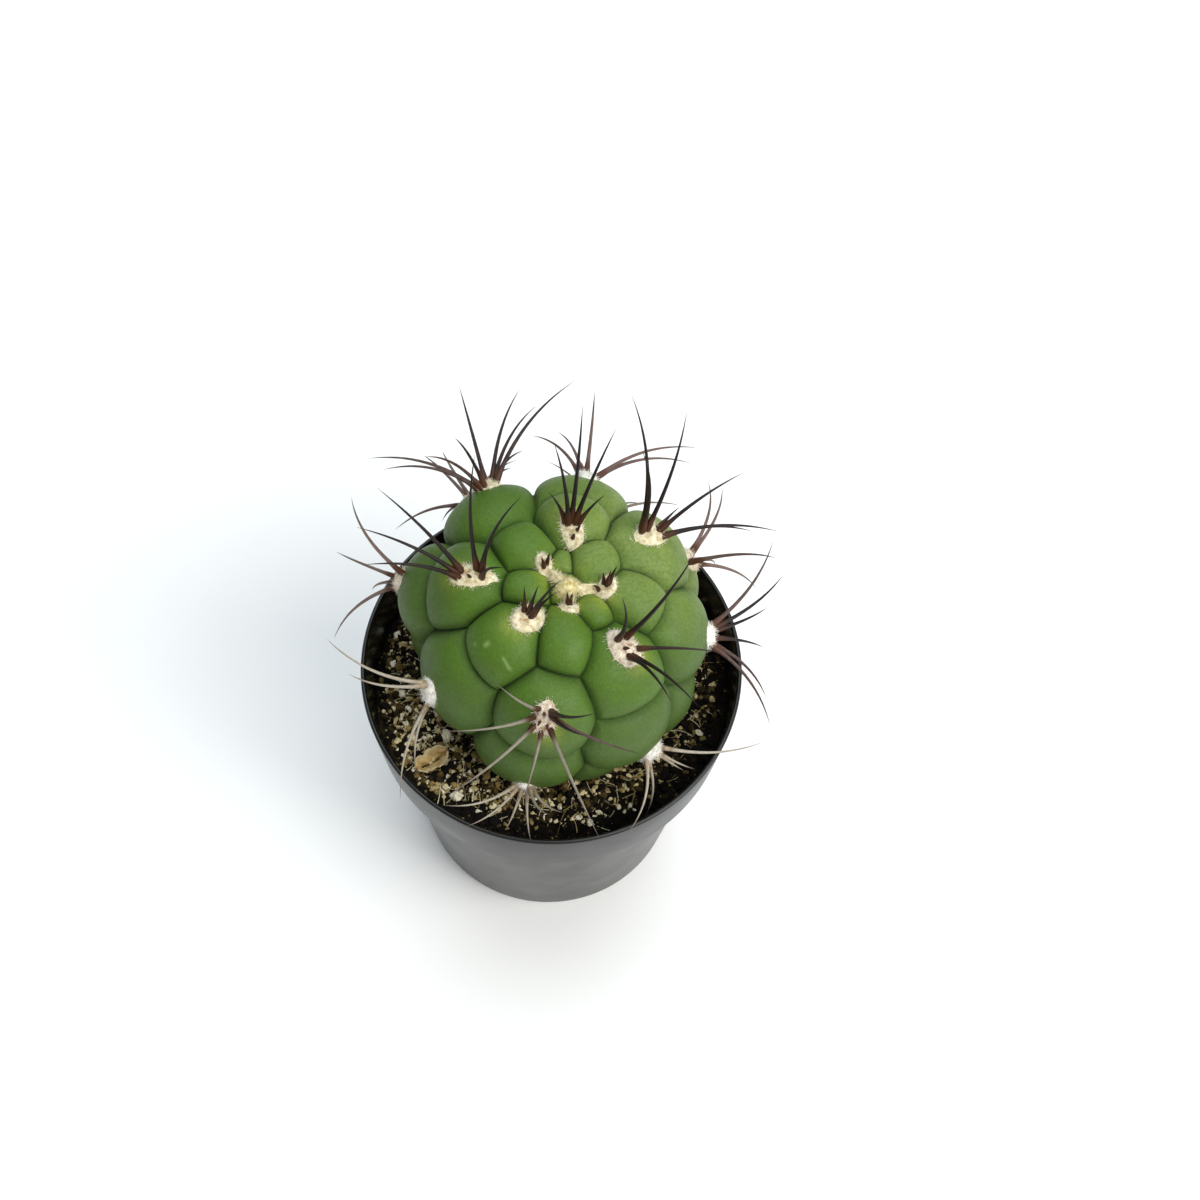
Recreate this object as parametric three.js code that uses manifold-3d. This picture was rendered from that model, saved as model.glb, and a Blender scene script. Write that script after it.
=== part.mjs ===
// A chin cactus in its nursery pot.
//
// Millimetres and degrees, +Z up. The origin is the centre of the pot's underside, on the surface
// that the pot stands on. Front is -Y.
//
// The plant is a low globe of rounded tubercles set on one spiral. Each tubercle is a ball that
// swells out of the body, so that neighbours meet in a sharp crease. An areole, which is a pad of
// wool with a bunch of curved spines, sits in the notch above each tubercle's chin.

import * as THREE from "three";
import { mergeVertices } from "three/addons/utils/BufferGeometryUtils.js";
import Module from "manifold-3d";

const wasm = await Module();
wasm.setup();

// ---------- Sizes that the pieces share ----------

const GAP = 0.3; // left between two pieces that touch
const SKIN_GAP = 0.35; // left between the skin and what grows on it, as its slopes narrow the gap
const ROUND_SIDES = 56; // facets around the pot and the soil, so that theirs face each other
const radians = THREE.MathUtils.degToRad;

// ---------- Solids: from a closed geometry to a manifold and back ----------

function toSolid(geometry) {
  const bare = geometry.clone();
  bare.deleteAttribute("normal");
  bare.deleteAttribute("uv");
  const merged = mergeVertices(bare, 1e-4);
  return new wasm.Manifold(new wasm.Mesh({
    numProp: 3,
    vertProperties: new Float32Array(merged.attributes.position.array),
    triVerts: new Uint32Array(merged.index.array),
  }));
}

function toGeometry(solid) {
  const mesh = solid.getMesh();
  const geometry = new THREE.BufferGeometry();
  geometry.setAttribute("position", new THREE.BufferAttribute(mesh.vertProperties, 3));
  geometry.setIndex(new THREE.BufferAttribute(mesh.triVerts, 1));
  geometry.computeVertexNormals();
  return geometry;
}

// A cut can leave a loose crumb behind: only the main body is kept.
function largestBody(solid) {
  return solid.decompose().reduce((best, body) => (body.volume() > best.volume() ? body : best));
}

// Turns a profile of [radius, height] pairs about the Z axis.
function turned(profile) {
  const points = profile.map(([radius, height]) => new THREE.Vector2(radius, height));
  return new THREE.LatheGeometry(points, ROUND_SIDES).rotateX(Math.PI / 2);
}

// ---------- Pot: a moulded tub with a stepped collar and drain holes in its floor ----------

const POT = {
  height: 89,
  rimRadius: 50, // outside, at the top edge
  collarDepth: 21,
  collarFootRadius: 48.3, // outside, at the collar's lower edge
  shoulderRadius: 45.3, // outside, where the body meets the collar
  baseRadius: 37.6,
  wall: 1.3,
  floor: 1.5,
  edge: 0.5, // rounding of the rim and of the base
  drainHoles: 6,
  drainRadius: 3.5,
  drainCircle: 29, // radius of the ring that the drain holes are on
  drainSides: 12,
};
POT.collarFoot = POT.height - POT.collarDepth;
POT.ledge = POT.collarFoot + POT.wall; // top of the step inside the collar

function makePot() {
  const { height, rimRadius, baseRadius, wall, edge } = POT;
  const outside = [
    [0, 0],
    [baseRadius - 2 * edge, 0],
    [baseRadius, 2 * edge],
    [POT.shoulderRadius, POT.collarFoot],
    [POT.collarFootRadius - edge / 2, POT.collarFoot],
    [POT.collarFootRadius, POT.collarFoot + edge],
    [rimRadius, height - edge],
    [rimRadius - edge, height],
  ];
  const inside = [
    [rimRadius - wall + edge / 4, height],
    [rimRadius - wall, height - edge],
    [POT.collarFootRadius - wall, POT.ledge],
    [POT.shoulderRadius - wall, POT.ledge],
    [baseRadius - wall, POT.floor],
    [0, POT.floor],
  ];
  let solid = toSolid(turned([...outside, ...inside]));
  for (let hole = 0; hole < POT.drainHoles; hole += 1) {
    const angle = (2 * Math.PI * hole) / POT.drainHoles;
    const cutter = new THREE.CylinderGeometry(
      POT.drainRadius, POT.drainRadius, 4 * POT.floor, POT.drainSides);
    cutter.rotateX(Math.PI / 2);
    cutter.translate(POT.drainCircle * Math.cos(angle), POT.drainCircle * Math.sin(angle), 0);
    solid = solid.subtract(toSolid(cutter));
  }
  return toGeometry(solid);
}

// ---------- Stem: tubercles on a spiral, and the neck that stands in the soil ----------

const STEM = {
  centre: new THREE.Vector3(1, 3, 103),
  lean: radians(4), // toward +X
  firstAzimuth: -87,
  turn: -136, // from one tubercle to the next older one
  neckRadius: 25,
  neckTop: 93,
  neckFoot: 61,
  neckEdge: 1,
  facets: 14, // splits of each edge of the icosahedron that the body is drawn on
};

// One row for each tubercle, from the growing point out: its place in the spiral, how far it has
// been pushed round from that place, its angle down from the crown, how far its top is from the
// body's centre, and the radius of its ball.
const TUBERCLES = [
  [-5, 0, 0, 25.5, 6],
  [-4, 3, 19, 27, 7],
  [-3, -2, 30, 28, 8],
  [-2, -2, 30, 29, 9],
  [-1, -4, 31, 30.5, 10],
  [0, -3, 46, 31.5, 13],
  [1, -2, 45, 32.5, 13.5],
  [2, 1, 54, 33, 15],
  [3, 1, 58, 34, 15.5],
  [4, -5, 51, 36.5, 13.5],
  [5, -5, 74, 35.5, 19],
  [6, -5, 66, 37.5, 16],
  [7, -3, 70, 39, 18.5],
  [8, -1, 78, 38.5, 16.5],
  [9, -2, 76, 41, 17.5],
  [10, 5, 87, 39, 19.5],
  [11, -1, 93, 38, 21],
  [12, 1, 71, 40, 18],
  [13, 0, 101, 40, 20],
  [14, -3, 87, 42, 15.5],
  [15, 0, 94, 41, 18],
  [16, 5, 110, 41, 20],
  [17, 0, 104, 41, 19],
  [18, -9, 115, 41, 19.5],
  [19, -1, 117, 38.5, 20],
  [20, 0, 113, 41.5, 20.5],
  [21, -6, 123, 40.5, 20.5],
  [22, 0, 119, 42, 20],
  [23, 0, 119, 42, 21],
].map(([place, nudge, polar, reach, radius]) => {
  const centre = onSpiral(place, nudge, polar).multiplyScalar(reach - radius);
  return { centre, inset: radius ** 2 - centre.lengthSq() };
});

// The direction from the body's centre, in the plant's own frame, of a place on the spiral.
function onSpiral(place, nudge, polar) {
  const azimuth = radians(STEM.firstAzimuth + STEM.turn * place + nudge);
  const down = radians(polar);
  return new THREE.Vector3(
    Math.sin(down) * Math.cos(azimuth), Math.sin(down) * Math.sin(azimuth), Math.cos(down));
}

// How far the skin is from the body's centre in one direction: the outermost ball that it meets.
function skinReach(direction) {
  let reach = 0;
  for (const { centre, inset } of TUBERCLES) {
    const along = direction.dot(centre);
    const squared = inset + along ** 2;
    if (squared > 0) reach = Math.max(reach, along + Math.sqrt(squared));
  }
  return reach;
}

const LEAN_AXIS = new THREE.Vector3(0, 1, 0);

function fromPlant(vector) {
  return vector.clone().applyAxisAngle(LEAN_AXIS, STEM.lean);
}

function toPlant(vector) {
  return vector.clone().applyAxisAngle(LEAN_AXIS, -STEM.lean);
}

// A point of the model at a height above the skin, in a direction in the plant's own frame.
function onSkin(direction, rise = 0) {
  const reach = skinReach(direction) + rise;
  return fromPlant(direction).multiplyScalar(reach).add(STEM.centre);
}

function makeBody(rise) {
  const geometry = new THREE.IcosahedronGeometry(1, STEM.facets);
  const position = geometry.attributes.position;
  const vertex = new THREE.Vector3();
  for (let index = 0; index < position.count; index += 1) {
    vertex.fromBufferAttribute(position, index).normalize();
    position.setXYZ(index, ...onSkin(vertex, rise));
  }
  return toSolid(geometry);
}

function makeStem() {
  const { neckRadius, neckTop, neckFoot, neckEdge, centre } = STEM;
  const neck = turned([
    [0, neckFoot],
    [neckRadius - neckEdge, neckFoot],
    [neckRadius, neckFoot + neckEdge],
    [neckRadius, neckTop],
    [0, neckTop],
  ]);
  neck.translate(centre.x, centre.y, 0);
  return toGeometry(makeBody(0).add(toSolid(neck)));
}

// ---------- Soil: fills the pot, with a lumpy top and a plain hole for the neck ----------

const SOIL = {
  top: POT.height - 16,
  sideGap: 1.5 * GAP,
  holeFloor: STEM.neckFoot - GAP,
  lipDip: 1.8, // the top sinks this much at the edge of the hole
  lipWidth: 7,
  rings: [22, 26, 30.5, 35, 39.5, 44], // radii of the rings of corners on the top
  // The waves that lump the top: each one's height, its swing for each millimetre along X and Y,
  // in radians, and where it starts.
  waves: [
    [0.6, 0.31, 0.08, 1.1],
    [0.55, -0.11, 0.29, -0.4],
    [0.45, 0.62, -0.45, 0],
    [0.3, 0.55, 0.9, 2],
  ],
};
SOIL.holeRadius = STEM.neckRadius + SOIL.sideGap;

function soilHeight(x, y) {
  const fromHole = Math.hypot(x - STEM.centre.x, y - STEM.centre.y) - SOIL.holeRadius;
  const open = THREE.MathUtils.clamp(fromHole / SOIL.lipWidth, 0, 1);
  const lumps = SOIL.waves.reduce((sum, [height, alongX, alongY, start]) => (
    sum + height * Math.sin(alongX * x + alongY * y + start)), 0);
  return SOIL.top + lumps * open - SOIL.lipDip * (1 - open) ** 2;
}

function makeSoil() {
  const { top, holeRadius, holeFloor } = SOIL;
  const collarRadius = (height) => THREE.MathUtils.mapLinear(
    height, POT.ledge, POT.height, POT.collarFootRadius, POT.rimRadius) - POT.wall - SOIL.sideGap;
  const geometry = turned([
    [0, POT.floor + GAP],
    [POT.baseRadius - POT.wall - GAP, POT.floor + GAP],
    [POT.shoulderRadius - POT.wall - GAP, POT.ledge + GAP],
    [collarRadius(POT.ledge), POT.ledge + GAP],
    [collarRadius(top), top],
    ...SOIL.rings.map((radius) => [radius, top]).reverse(),
    [0, top],
  ]);
  const position = geometry.attributes.position;
  for (let index = 0; index < position.count; index += 1) {
    const isOnTop = position.getZ(index) > top - GAP;
    if (isOnTop) position.setZ(index, soilHeight(position.getX(index), position.getY(index)));
  }
  const hole = turned([
    [0, holeFloor], [holeRadius, holeFloor], [holeRadius, POT.height], [0, POT.height],
  ]);
  hole.translate(STEM.centre.x, STEM.centre.y, 0);
  return toGeometry(toSolid(geometry).subtract(toSolid(hole)));
}

// ---------- Wool pads and spines ----------

const WOOL = {
  sink: 0.8, // how far a pad's edge and underside reach below the skin before they are trimmed
  sides: 10,
  rings: [0.45, 0.8, 1],
};
const SPINE = {
  sides: 3,
  rootRadius: 0.45,
  rootPerLength: 0.005, // a longer spine is stouter
  curl: 0.35, // how far it bows away from the skin
  rootRise: 0.6, // the height over the skin that its length is counted from
  rootSpread: 0.3, // share of the pad's size by which the roots stand apart
  rootSink: 1.4, // the root goes this far back into the wool
  taper: [1, 0.86, 0.66, 0.42], // of its radius, from the root out, before the point
};
const NORMAL_REACH = 0.06; // radians around an areole over which the slope of the skin is taken
const NORMAL_POINTS = 8;
const OUTWARD_SHARE = 0.6; // an areole also faces straight out from the body by this share

// The frame of an areole on the skin: its middle, the way it faces, the way up to the crown, and
// the way to its side.
function areoleFrame(place, nudge, polar) {
  const direction = onSpiral(place, nudge, polar);
  const base = onSkin(direction);
  const pitch = NORMAL_REACH / Math.sin(radians(polar));
  const around = [];
  for (let step = 0; step < NORMAL_POINTS; step += 1) {
    const angle = (2 * Math.PI * step) / NORMAL_POINTS;
    const aside = THREE.MathUtils.radToDeg(pitch * Math.cos(angle));
    const down = THREE.MathUtils.radToDeg(NORMAL_REACH * Math.sin(angle));
    around.push(onSkin(onSpiral(place, nudge + aside, polar + down)));
  }
  const slope = new THREE.Vector3();
  around.forEach((point, index) => {
    const next = around[(index + 1) % NORMAL_POINTS];
    slope.add(point.clone().sub(base).cross(next.clone().sub(base)));
  });
  const straightOut = fromPlant(direction);
  if (slope.dot(straightOut) < 0) slope.negate();
  const out = slope.normalize().addScaledVector(straightOut, OUTWARD_SHARE).normalize();
  const up = fromPlant(new THREE.Vector3(0, 0, 1));
  up.addScaledVector(out, -up.dot(out)).normalize();
  const side = up.clone().cross(out);
  return { base, out, up, side };
}

// A low dome of wool that follows the skin. Its size is half its length, toward the crown, and half
// its width; shift moves it up toward the crown from where the spines stand.
function makePad(frame, { length, width, height, shift = 0 }) {
  const at = (share, angle, rise) => {
    const along = share * length * Math.cos(angle) + shift;
    const across = share * width * Math.sin(angle);
    const point = frame.base.clone();
    point.addScaledVector(frame.up, along).addScaledVector(frame.side, across);
    return onSkin(toPlant(point.sub(STEM.centre)).normalize(), rise);
  };
  const points = [at(0, 0, height)];
  for (const share of WOOL.rings) {
    for (let step = 0; step < WOOL.sides; step += 1) {
      const rise = (height + WOOL.sink) * (1 - share ** 2) - WOOL.sink;
      points.push(at(share, (2 * Math.PI * step) / WOOL.sides, rise));
    }
  }
  points.push(at(0, 0, -2 * WOOL.sink));
  const faces = [];
  const { sides } = WOOL;
  const underside = points.length - 1;
  for (let step = 0; step < sides; step += 1) {
    const next = (step + 1) % sides;
    faces.push(0, 1 + next, 1 + step);
    for (let ring = 0; ring < WOOL.rings.length - 1; ring += 1) {
      const inner = 1 + ring * sides;
      const outer = inner + sides;
      faces.push(inner + step, inner + next, outer + step);
      faces.push(inner + next, outer + next, outer + step);
    }
    const last = 1 + (WOOL.rings.length - 1) * sides;
    faces.push(underside, last + step, last + next);
  }
  const geometry = new THREE.BufferGeometry();
  geometry.setAttribute("position", new THREE.Float32BufferAttribute(
    points.flatMap((point) => point.toArray()), 3));
  geometry.setIndex(faces);
  return toSolid(geometry);
}

// One curved spine that runs out to a point. It leans from the way the areole faces toward its
// bearing, which is counted from the crown.
function makeSpine(frame, pad, [bearing, lean, length]) {
  const turn = radians(bearing);
  const tilt = radians(lean);
  const aside = frame.up.clone().multiplyScalar(Math.cos(turn))
    .addScaledVector(frame.side, Math.sin(turn));
  const heading = frame.out.clone().multiplyScalar(Math.cos(tilt))
    .addScaledVector(aside, Math.sin(tilt));
  const origin = frame.base.clone().addScaledVector(frame.out, SPINE.rootRise);
  const tip = origin.clone().addScaledVector(heading, length);
  const root = origin.clone()
    .addScaledVector(frame.up, SPINE.rootSpread * pad.length * Math.cos(turn) * Math.sin(tilt))
    .addScaledVector(frame.side, SPINE.rootSpread * pad.width * Math.sin(turn) * Math.sin(tilt))
    .addScaledVector(frame.out, -SPINE.rootSink);
  const bow = frame.out.clone().addScaledVector(heading, -heading.dot(frame.out));
  const knee = origin.clone().addScaledVector(heading, length / 2)
    .addScaledVector(bow, (SPINE.curl * length) / 2);
  const curve = new THREE.QuadraticBezierCurve3(root, knee, tip);

  const { sides, taper } = SPINE;
  const rootRadius = SPINE.rootRadius + SPINE.rootPerLength * length;
  const across = frame.out.clone().cross(aside);
  const points = [];
  taper.forEach((share, ring) => {
    const middle = curve.getPoint(ring / taper.length);
    const over = curve.getTangent(ring / taper.length).cross(across);
    for (let corner = 0; corner < sides; corner += 1) {
      const angle = (2 * Math.PI * corner) / sides;
      points.push(middle.clone()
        .addScaledVector(across, rootRadius * share * Math.cos(angle))
        .addScaledVector(over, rootRadius * share * Math.sin(angle)));
    }
  });
  points.push(tip);
  const faces = [0, 2, 1];
  const lastRing = sides * (taper.length - 1);
  for (let corner = 0; corner < sides; corner += 1) {
    const beside = (corner + 1) % sides;
    for (let ring = 0; ring < lastRing; ring += sides) {
      faces.push(ring + corner, ring + beside, ring + corner + sides);
      faces.push(ring + beside, ring + beside + sides, ring + corner + sides);
    }
    faces.push(lastRing + corner, lastRing + beside, points.length - 1);
  }
  const geometry = new THREE.BufferGeometry();
  geometry.setAttribute("position", new THREE.Float32BufferAttribute(
    points.flatMap((point) => point.toArray()), 3));
  geometry.setIndex(faces);
  return toSolid(geometry);
}

// What stands on the skin is trimmed by a body that is a little larger than the stem.
const skinCutter = makeBody(SKIN_GAP);

function makeAreole({ place, nudge, polar, pad, spines }) {
  const frame = areoleFrame(place, nudge, polar);
  let solid = makePad(frame, pad);
  for (const spine of spines) solid = solid.add(makeSpine(frame, pad, spine));
  return toGeometry(largestBody(solid.subtract(skinCutter)));
}

// The wool at the growing point, which has no spines yet.
const CROWN = { place: 0, nudge: 16, polar: 3.2 };
CROWN.pad = { length: 2.7, width: 4, height: 1.6 };
CROWN.spines = [];

// The areoles from the youngest to the oldest. Each spine is [bearing, lean, length].
const AREOLES = [
  {
    place: 0, nudge: 7, polar: 14.5,
    pad: { length: 2, width: 2.8, height: 1.3 },
    spines: [[125, 20, 4], [175, 30, 3]],
  },
  {
    place: 1, nudge: 4, polar: 15.5,
    pad: { length: 3.2, width: 2.3, height: 1.3 },
    spines: [[-45, 20, 5], [25, 30, 4]],
  },
  {
    place: 2, nudge: -3, polar: 22,
    pad: { length: 3.4, width: 2.6, height: 1.4 },
    spines: [[-40, 30, 4], [0, 18, 6], [15, 28, 7], [-110, 50, 3]],
  },
  {
    place: 3, nudge: 1, polar: 27,
    pad: { length: 4, width: 2.8, height: 1.5 },
    spines: [[-55, 30, 8], [-12, 24, 10], [32, 25, 17], [22, 42, 10]],
  },
  {
    place: 4, nudge: -4, polar: 28,
    pad: { length: 5, width: 3.2, height: 1.6 },
    spines: [[157, 20, 27], [-159, 23, 34], [-120, 26, 30], [150, 47, 10], [-98, 46, 11]],
  },
  {
    place: 5, nudge: 3, polar: 43,
    pad: { length: 5, width: 4, height: 1.6 },
    spines: [[-6, 37, 23], [57, 32, 32], [145, 61, 22], [-139, 43, 23], [-159, 46, 26]],
  },
  {
    place: 6, nudge: -2, polar: 43,
    pad: { length: 5.4, width: 3.2, height: 1.6 },
    spines: [
      [-144, 31, 32], [-169, 46, 30], [165, 47, 28], [-49, 31, 34], [-20, 48, 27], [24, 57, 14],
    ],
  },
  {
    place: 7, nudge: -3, polar: 48,
    pad: { length: 4.8, width: 3.4, height: 1.6 },
    spines: [
      [65, 42, 36], [36, 38, 26], [63, 19, 34], [171, 47, 9], [-167, 36, 27], [-140, 63, 32],
      [-145, 67, 26],
    ],
  },
  {
    place: 8, nudge: 0, polar: 62,
    pad: { length: 5, width: 3.6, height: 1.6 },
    spines: [
      [-49, 61, 20], [-93, 64, 26], [-133, 68, 26], [-170, 72, 20], [145, 58, 31], [45, 41, 21],
      [68, 31, 17], [93, 63, 27],
    ],
  },
  {
    place: 9, nudge: -8, polar: 69,
    pad: { length: 4.8, width: 3.6, height: 1.6 },
    spines: [
      [-163, 32, 32], [-118, 45, 30], [-85, 59, 35], [-116, 57, 29], [27, 56, 23], [72, 64, 34],
      [64, 70, 32], [44, 67, 27], [-124, 72, 18], [-131, 80, 12],
    ],
  },
  {
    place: 10, nudge: 6, polar: 83,
    pad: { length: 4.8, width: 3.4, height: 1.6 },
    spines: [
      [88, 58, 31], [107, 47, 28], [127, 43, 20], [175, 41, 18], [-134, 60, 30], [-155, 58, 27],
    ],
  },
  {
    place: 11, nudge: -4, polar: 86,
    pad: { length: 4.8, width: 3.4, height: 1.6 },
    spines: [[-31, 48, 34], [-14, 41, 28], [135, 60, 28], [140, 70, 22]],
  },
  {
    place: 12, nudge: 1, polar: 67,
    pad: { length: 4.8, width: 3.4, height: 1.6 },
    spines: [
      [175, 40, 32], [138, 69, 26], [150, 59, 22], [-116, 66, 34], [-123, 73, 34], [170, 78, 20],
    ],
  },
  {
    place: 13, nudge: 7, polar: 100,
    pad: { length: 4.6, width: 3.4, height: 1.6 },
    spines: [[90, 54, 29], [133, 44, 14], [142, 40, 11], [-149, 60, 20], [-95, 63, 22]],
  },
  {
    place: 14, nudge: -2, polar: 85,
    pad: { length: 4.6, width: 3.2, height: 1.6 },
    spines: [[-7, 60, 32], [-148, 49, 27], [164, 69, 32], [-170, 72, 18]],
  },
  {
    place: 15, nudge: -4, polar: 80,
    pad: { length: 4.6, width: 3.2, height: 1.6 },
    spines: [[124, 66, 33], [129, 60, 32], [-43, 56, 32], [-168, 68, 30], [172, 76, 18]],
  },
  {
    place: 16, nudge: 4, polar: 106,
    pad: { length: 4.6, width: 3.4, height: 1.6 },
    spines: [
      [-62, 58, 24], [-50, 45, 21], [-40, 30, 18], [-10, 20, 18], [30, 35, 15], [45, 50, 16],
      [50, 66, 22],
    ],
  },
  {
    place: 17, nudge: 5, polar: 82,
    pad: { length: 4.6, width: 3.2, height: 1.6 },
    spines: [[-171, 39, 35], [-158, 42, 34], [130, 70, 24], [165, 74, 18], [-110, 72, 22]],
  },
  {
    place: 20, nudge: 0, polar: 96,
    pad: { length: 4.6, width: 3.2, height: 1.6 },
    spines: [[100, 62, 22], [-100, 62, 22], [140, 52, 17], [-140, 52, 17], [180, 48, 15]],
  },
];

// ---------- Materials and assembly ----------

const plastic = new THREE.MeshStandardMaterial({ color: 0x34342f, roughness: 0.55, metalness: 0 });
const mix = new THREE.MeshStandardMaterial({ color: 0x2c231b, roughness: 1, metalness: 0 });
const skin = new THREE.MeshStandardMaterial({ color: 0x54793d, roughness: 0.6, metalness: 0 });
const wool = new THREE.MeshStandardMaterial({ color: 0xd9cba0, roughness: 1, metalness: 0 });
const spineWood = new THREE.MeshStandardMaterial({ color: 0x2a1c17, roughness: 0.5, metalness: 0 });

function piece(name, geometry, material) {
  const mesh = new THREE.Mesh(geometry, material);
  mesh.name = name;
  return mesh;
}

const plant = new THREE.Group();
plant.add(piece("pot", makePot(), plastic));
plant.add(piece("soil", makeSoil(), mix));
plant.add(piece("stem", makeStem(), skin));
plant.add(piece("crown_wool", makeAreole(CROWN), wool));
AREOLES.forEach((areole, index) => {
  const name = `areole_${String(index + 1).padStart(2, "0")}`;
  plant.add(piece(name, makeAreole(areole), spineWood));
});

export default plant;
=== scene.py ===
"""A chin cactus in its nursery pot, on a plain pale floor.

Sizes are in millimetres and angles in degrees, and a mesh is made in metres. +Z is up, the front
is -Y, and the origin is the centre of the pot's underside. The plant is one spiral of rounded
tubercles. Above each one's chin sits an areole, a pad of wool with a bunch of curved spines.
"""

import math

import bmesh
import bpy
import numpy as np
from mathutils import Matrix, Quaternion, Vector, noise


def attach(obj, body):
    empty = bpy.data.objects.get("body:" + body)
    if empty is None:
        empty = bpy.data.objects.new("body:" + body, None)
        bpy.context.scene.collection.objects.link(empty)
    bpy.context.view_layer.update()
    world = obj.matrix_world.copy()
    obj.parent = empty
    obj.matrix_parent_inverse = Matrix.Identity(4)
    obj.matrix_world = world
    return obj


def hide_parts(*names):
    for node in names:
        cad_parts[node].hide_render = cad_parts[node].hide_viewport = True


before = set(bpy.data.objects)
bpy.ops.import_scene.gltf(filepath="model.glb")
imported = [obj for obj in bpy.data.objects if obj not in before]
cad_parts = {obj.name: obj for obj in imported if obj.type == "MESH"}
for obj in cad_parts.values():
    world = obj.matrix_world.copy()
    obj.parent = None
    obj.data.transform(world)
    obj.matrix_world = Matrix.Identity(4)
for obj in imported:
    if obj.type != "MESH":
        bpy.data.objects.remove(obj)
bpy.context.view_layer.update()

MM = 0.001

# ---------------------------------------------------------------------------------------------
# Camera, light and floor. The camera looks steeply down from the front. Two soft boxes stand to
# the right front, a broad sky glow comes over the back, and a faint one fills in from the front.
# The floor is plain and pale. Nothing here is part of the object.
# ---------------------------------------------------------------------------------------------
EYE = Vector((0, -190.3, 492.8)) * MM
AIM = Vector((12.3, 18.7, 89)) * MM
TILT_TO_SIDE = 4.7
LENS = 51
SENSOR = 36
LIGHTS_AIM = Vector((0, 0, 0.1))
GLOW_WIDTH = 60
SKY_COLOUR = (0.84, 0.92, 1, 1)
SKY_STRENGTH = 0.26
WALL_COLOUR = (0.93, 0.93, 0.93, 1)
FLOOR_SIZE = 6000

camera_data = bpy.data.cameras.new("camera")
camera_data.lens = LENS
camera_data.sensor_width = SENSOR
camera = bpy.data.objects.new("camera", camera_data)
roll = Quaternion((0, 0, 1), math.radians(TILT_TO_SIDE))
camera.rotation_mode = "QUATERNION"
camera.rotation_quaternion = (AIM - EYE).to_track_quat("-Z", "Y") @ roll
camera.location = EYE
bpy.context.scene.collection.objects.link(camera)
bpy.context.scene.camera = camera
bpy.context.scene.view_settings.view_transform = "Standard"


def paint(code):
    """The linear colour of a six-digit hexadecimal screen colour."""
    parts = [int(code[start:start + 2], 16) / 255 for start in (0, 2, 4)]
    return tuple(p / 12.92 if p <= 0.04045 else ((p + 0.055) / 1.055) ** 2.4 for p in parts) + (1,)


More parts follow.
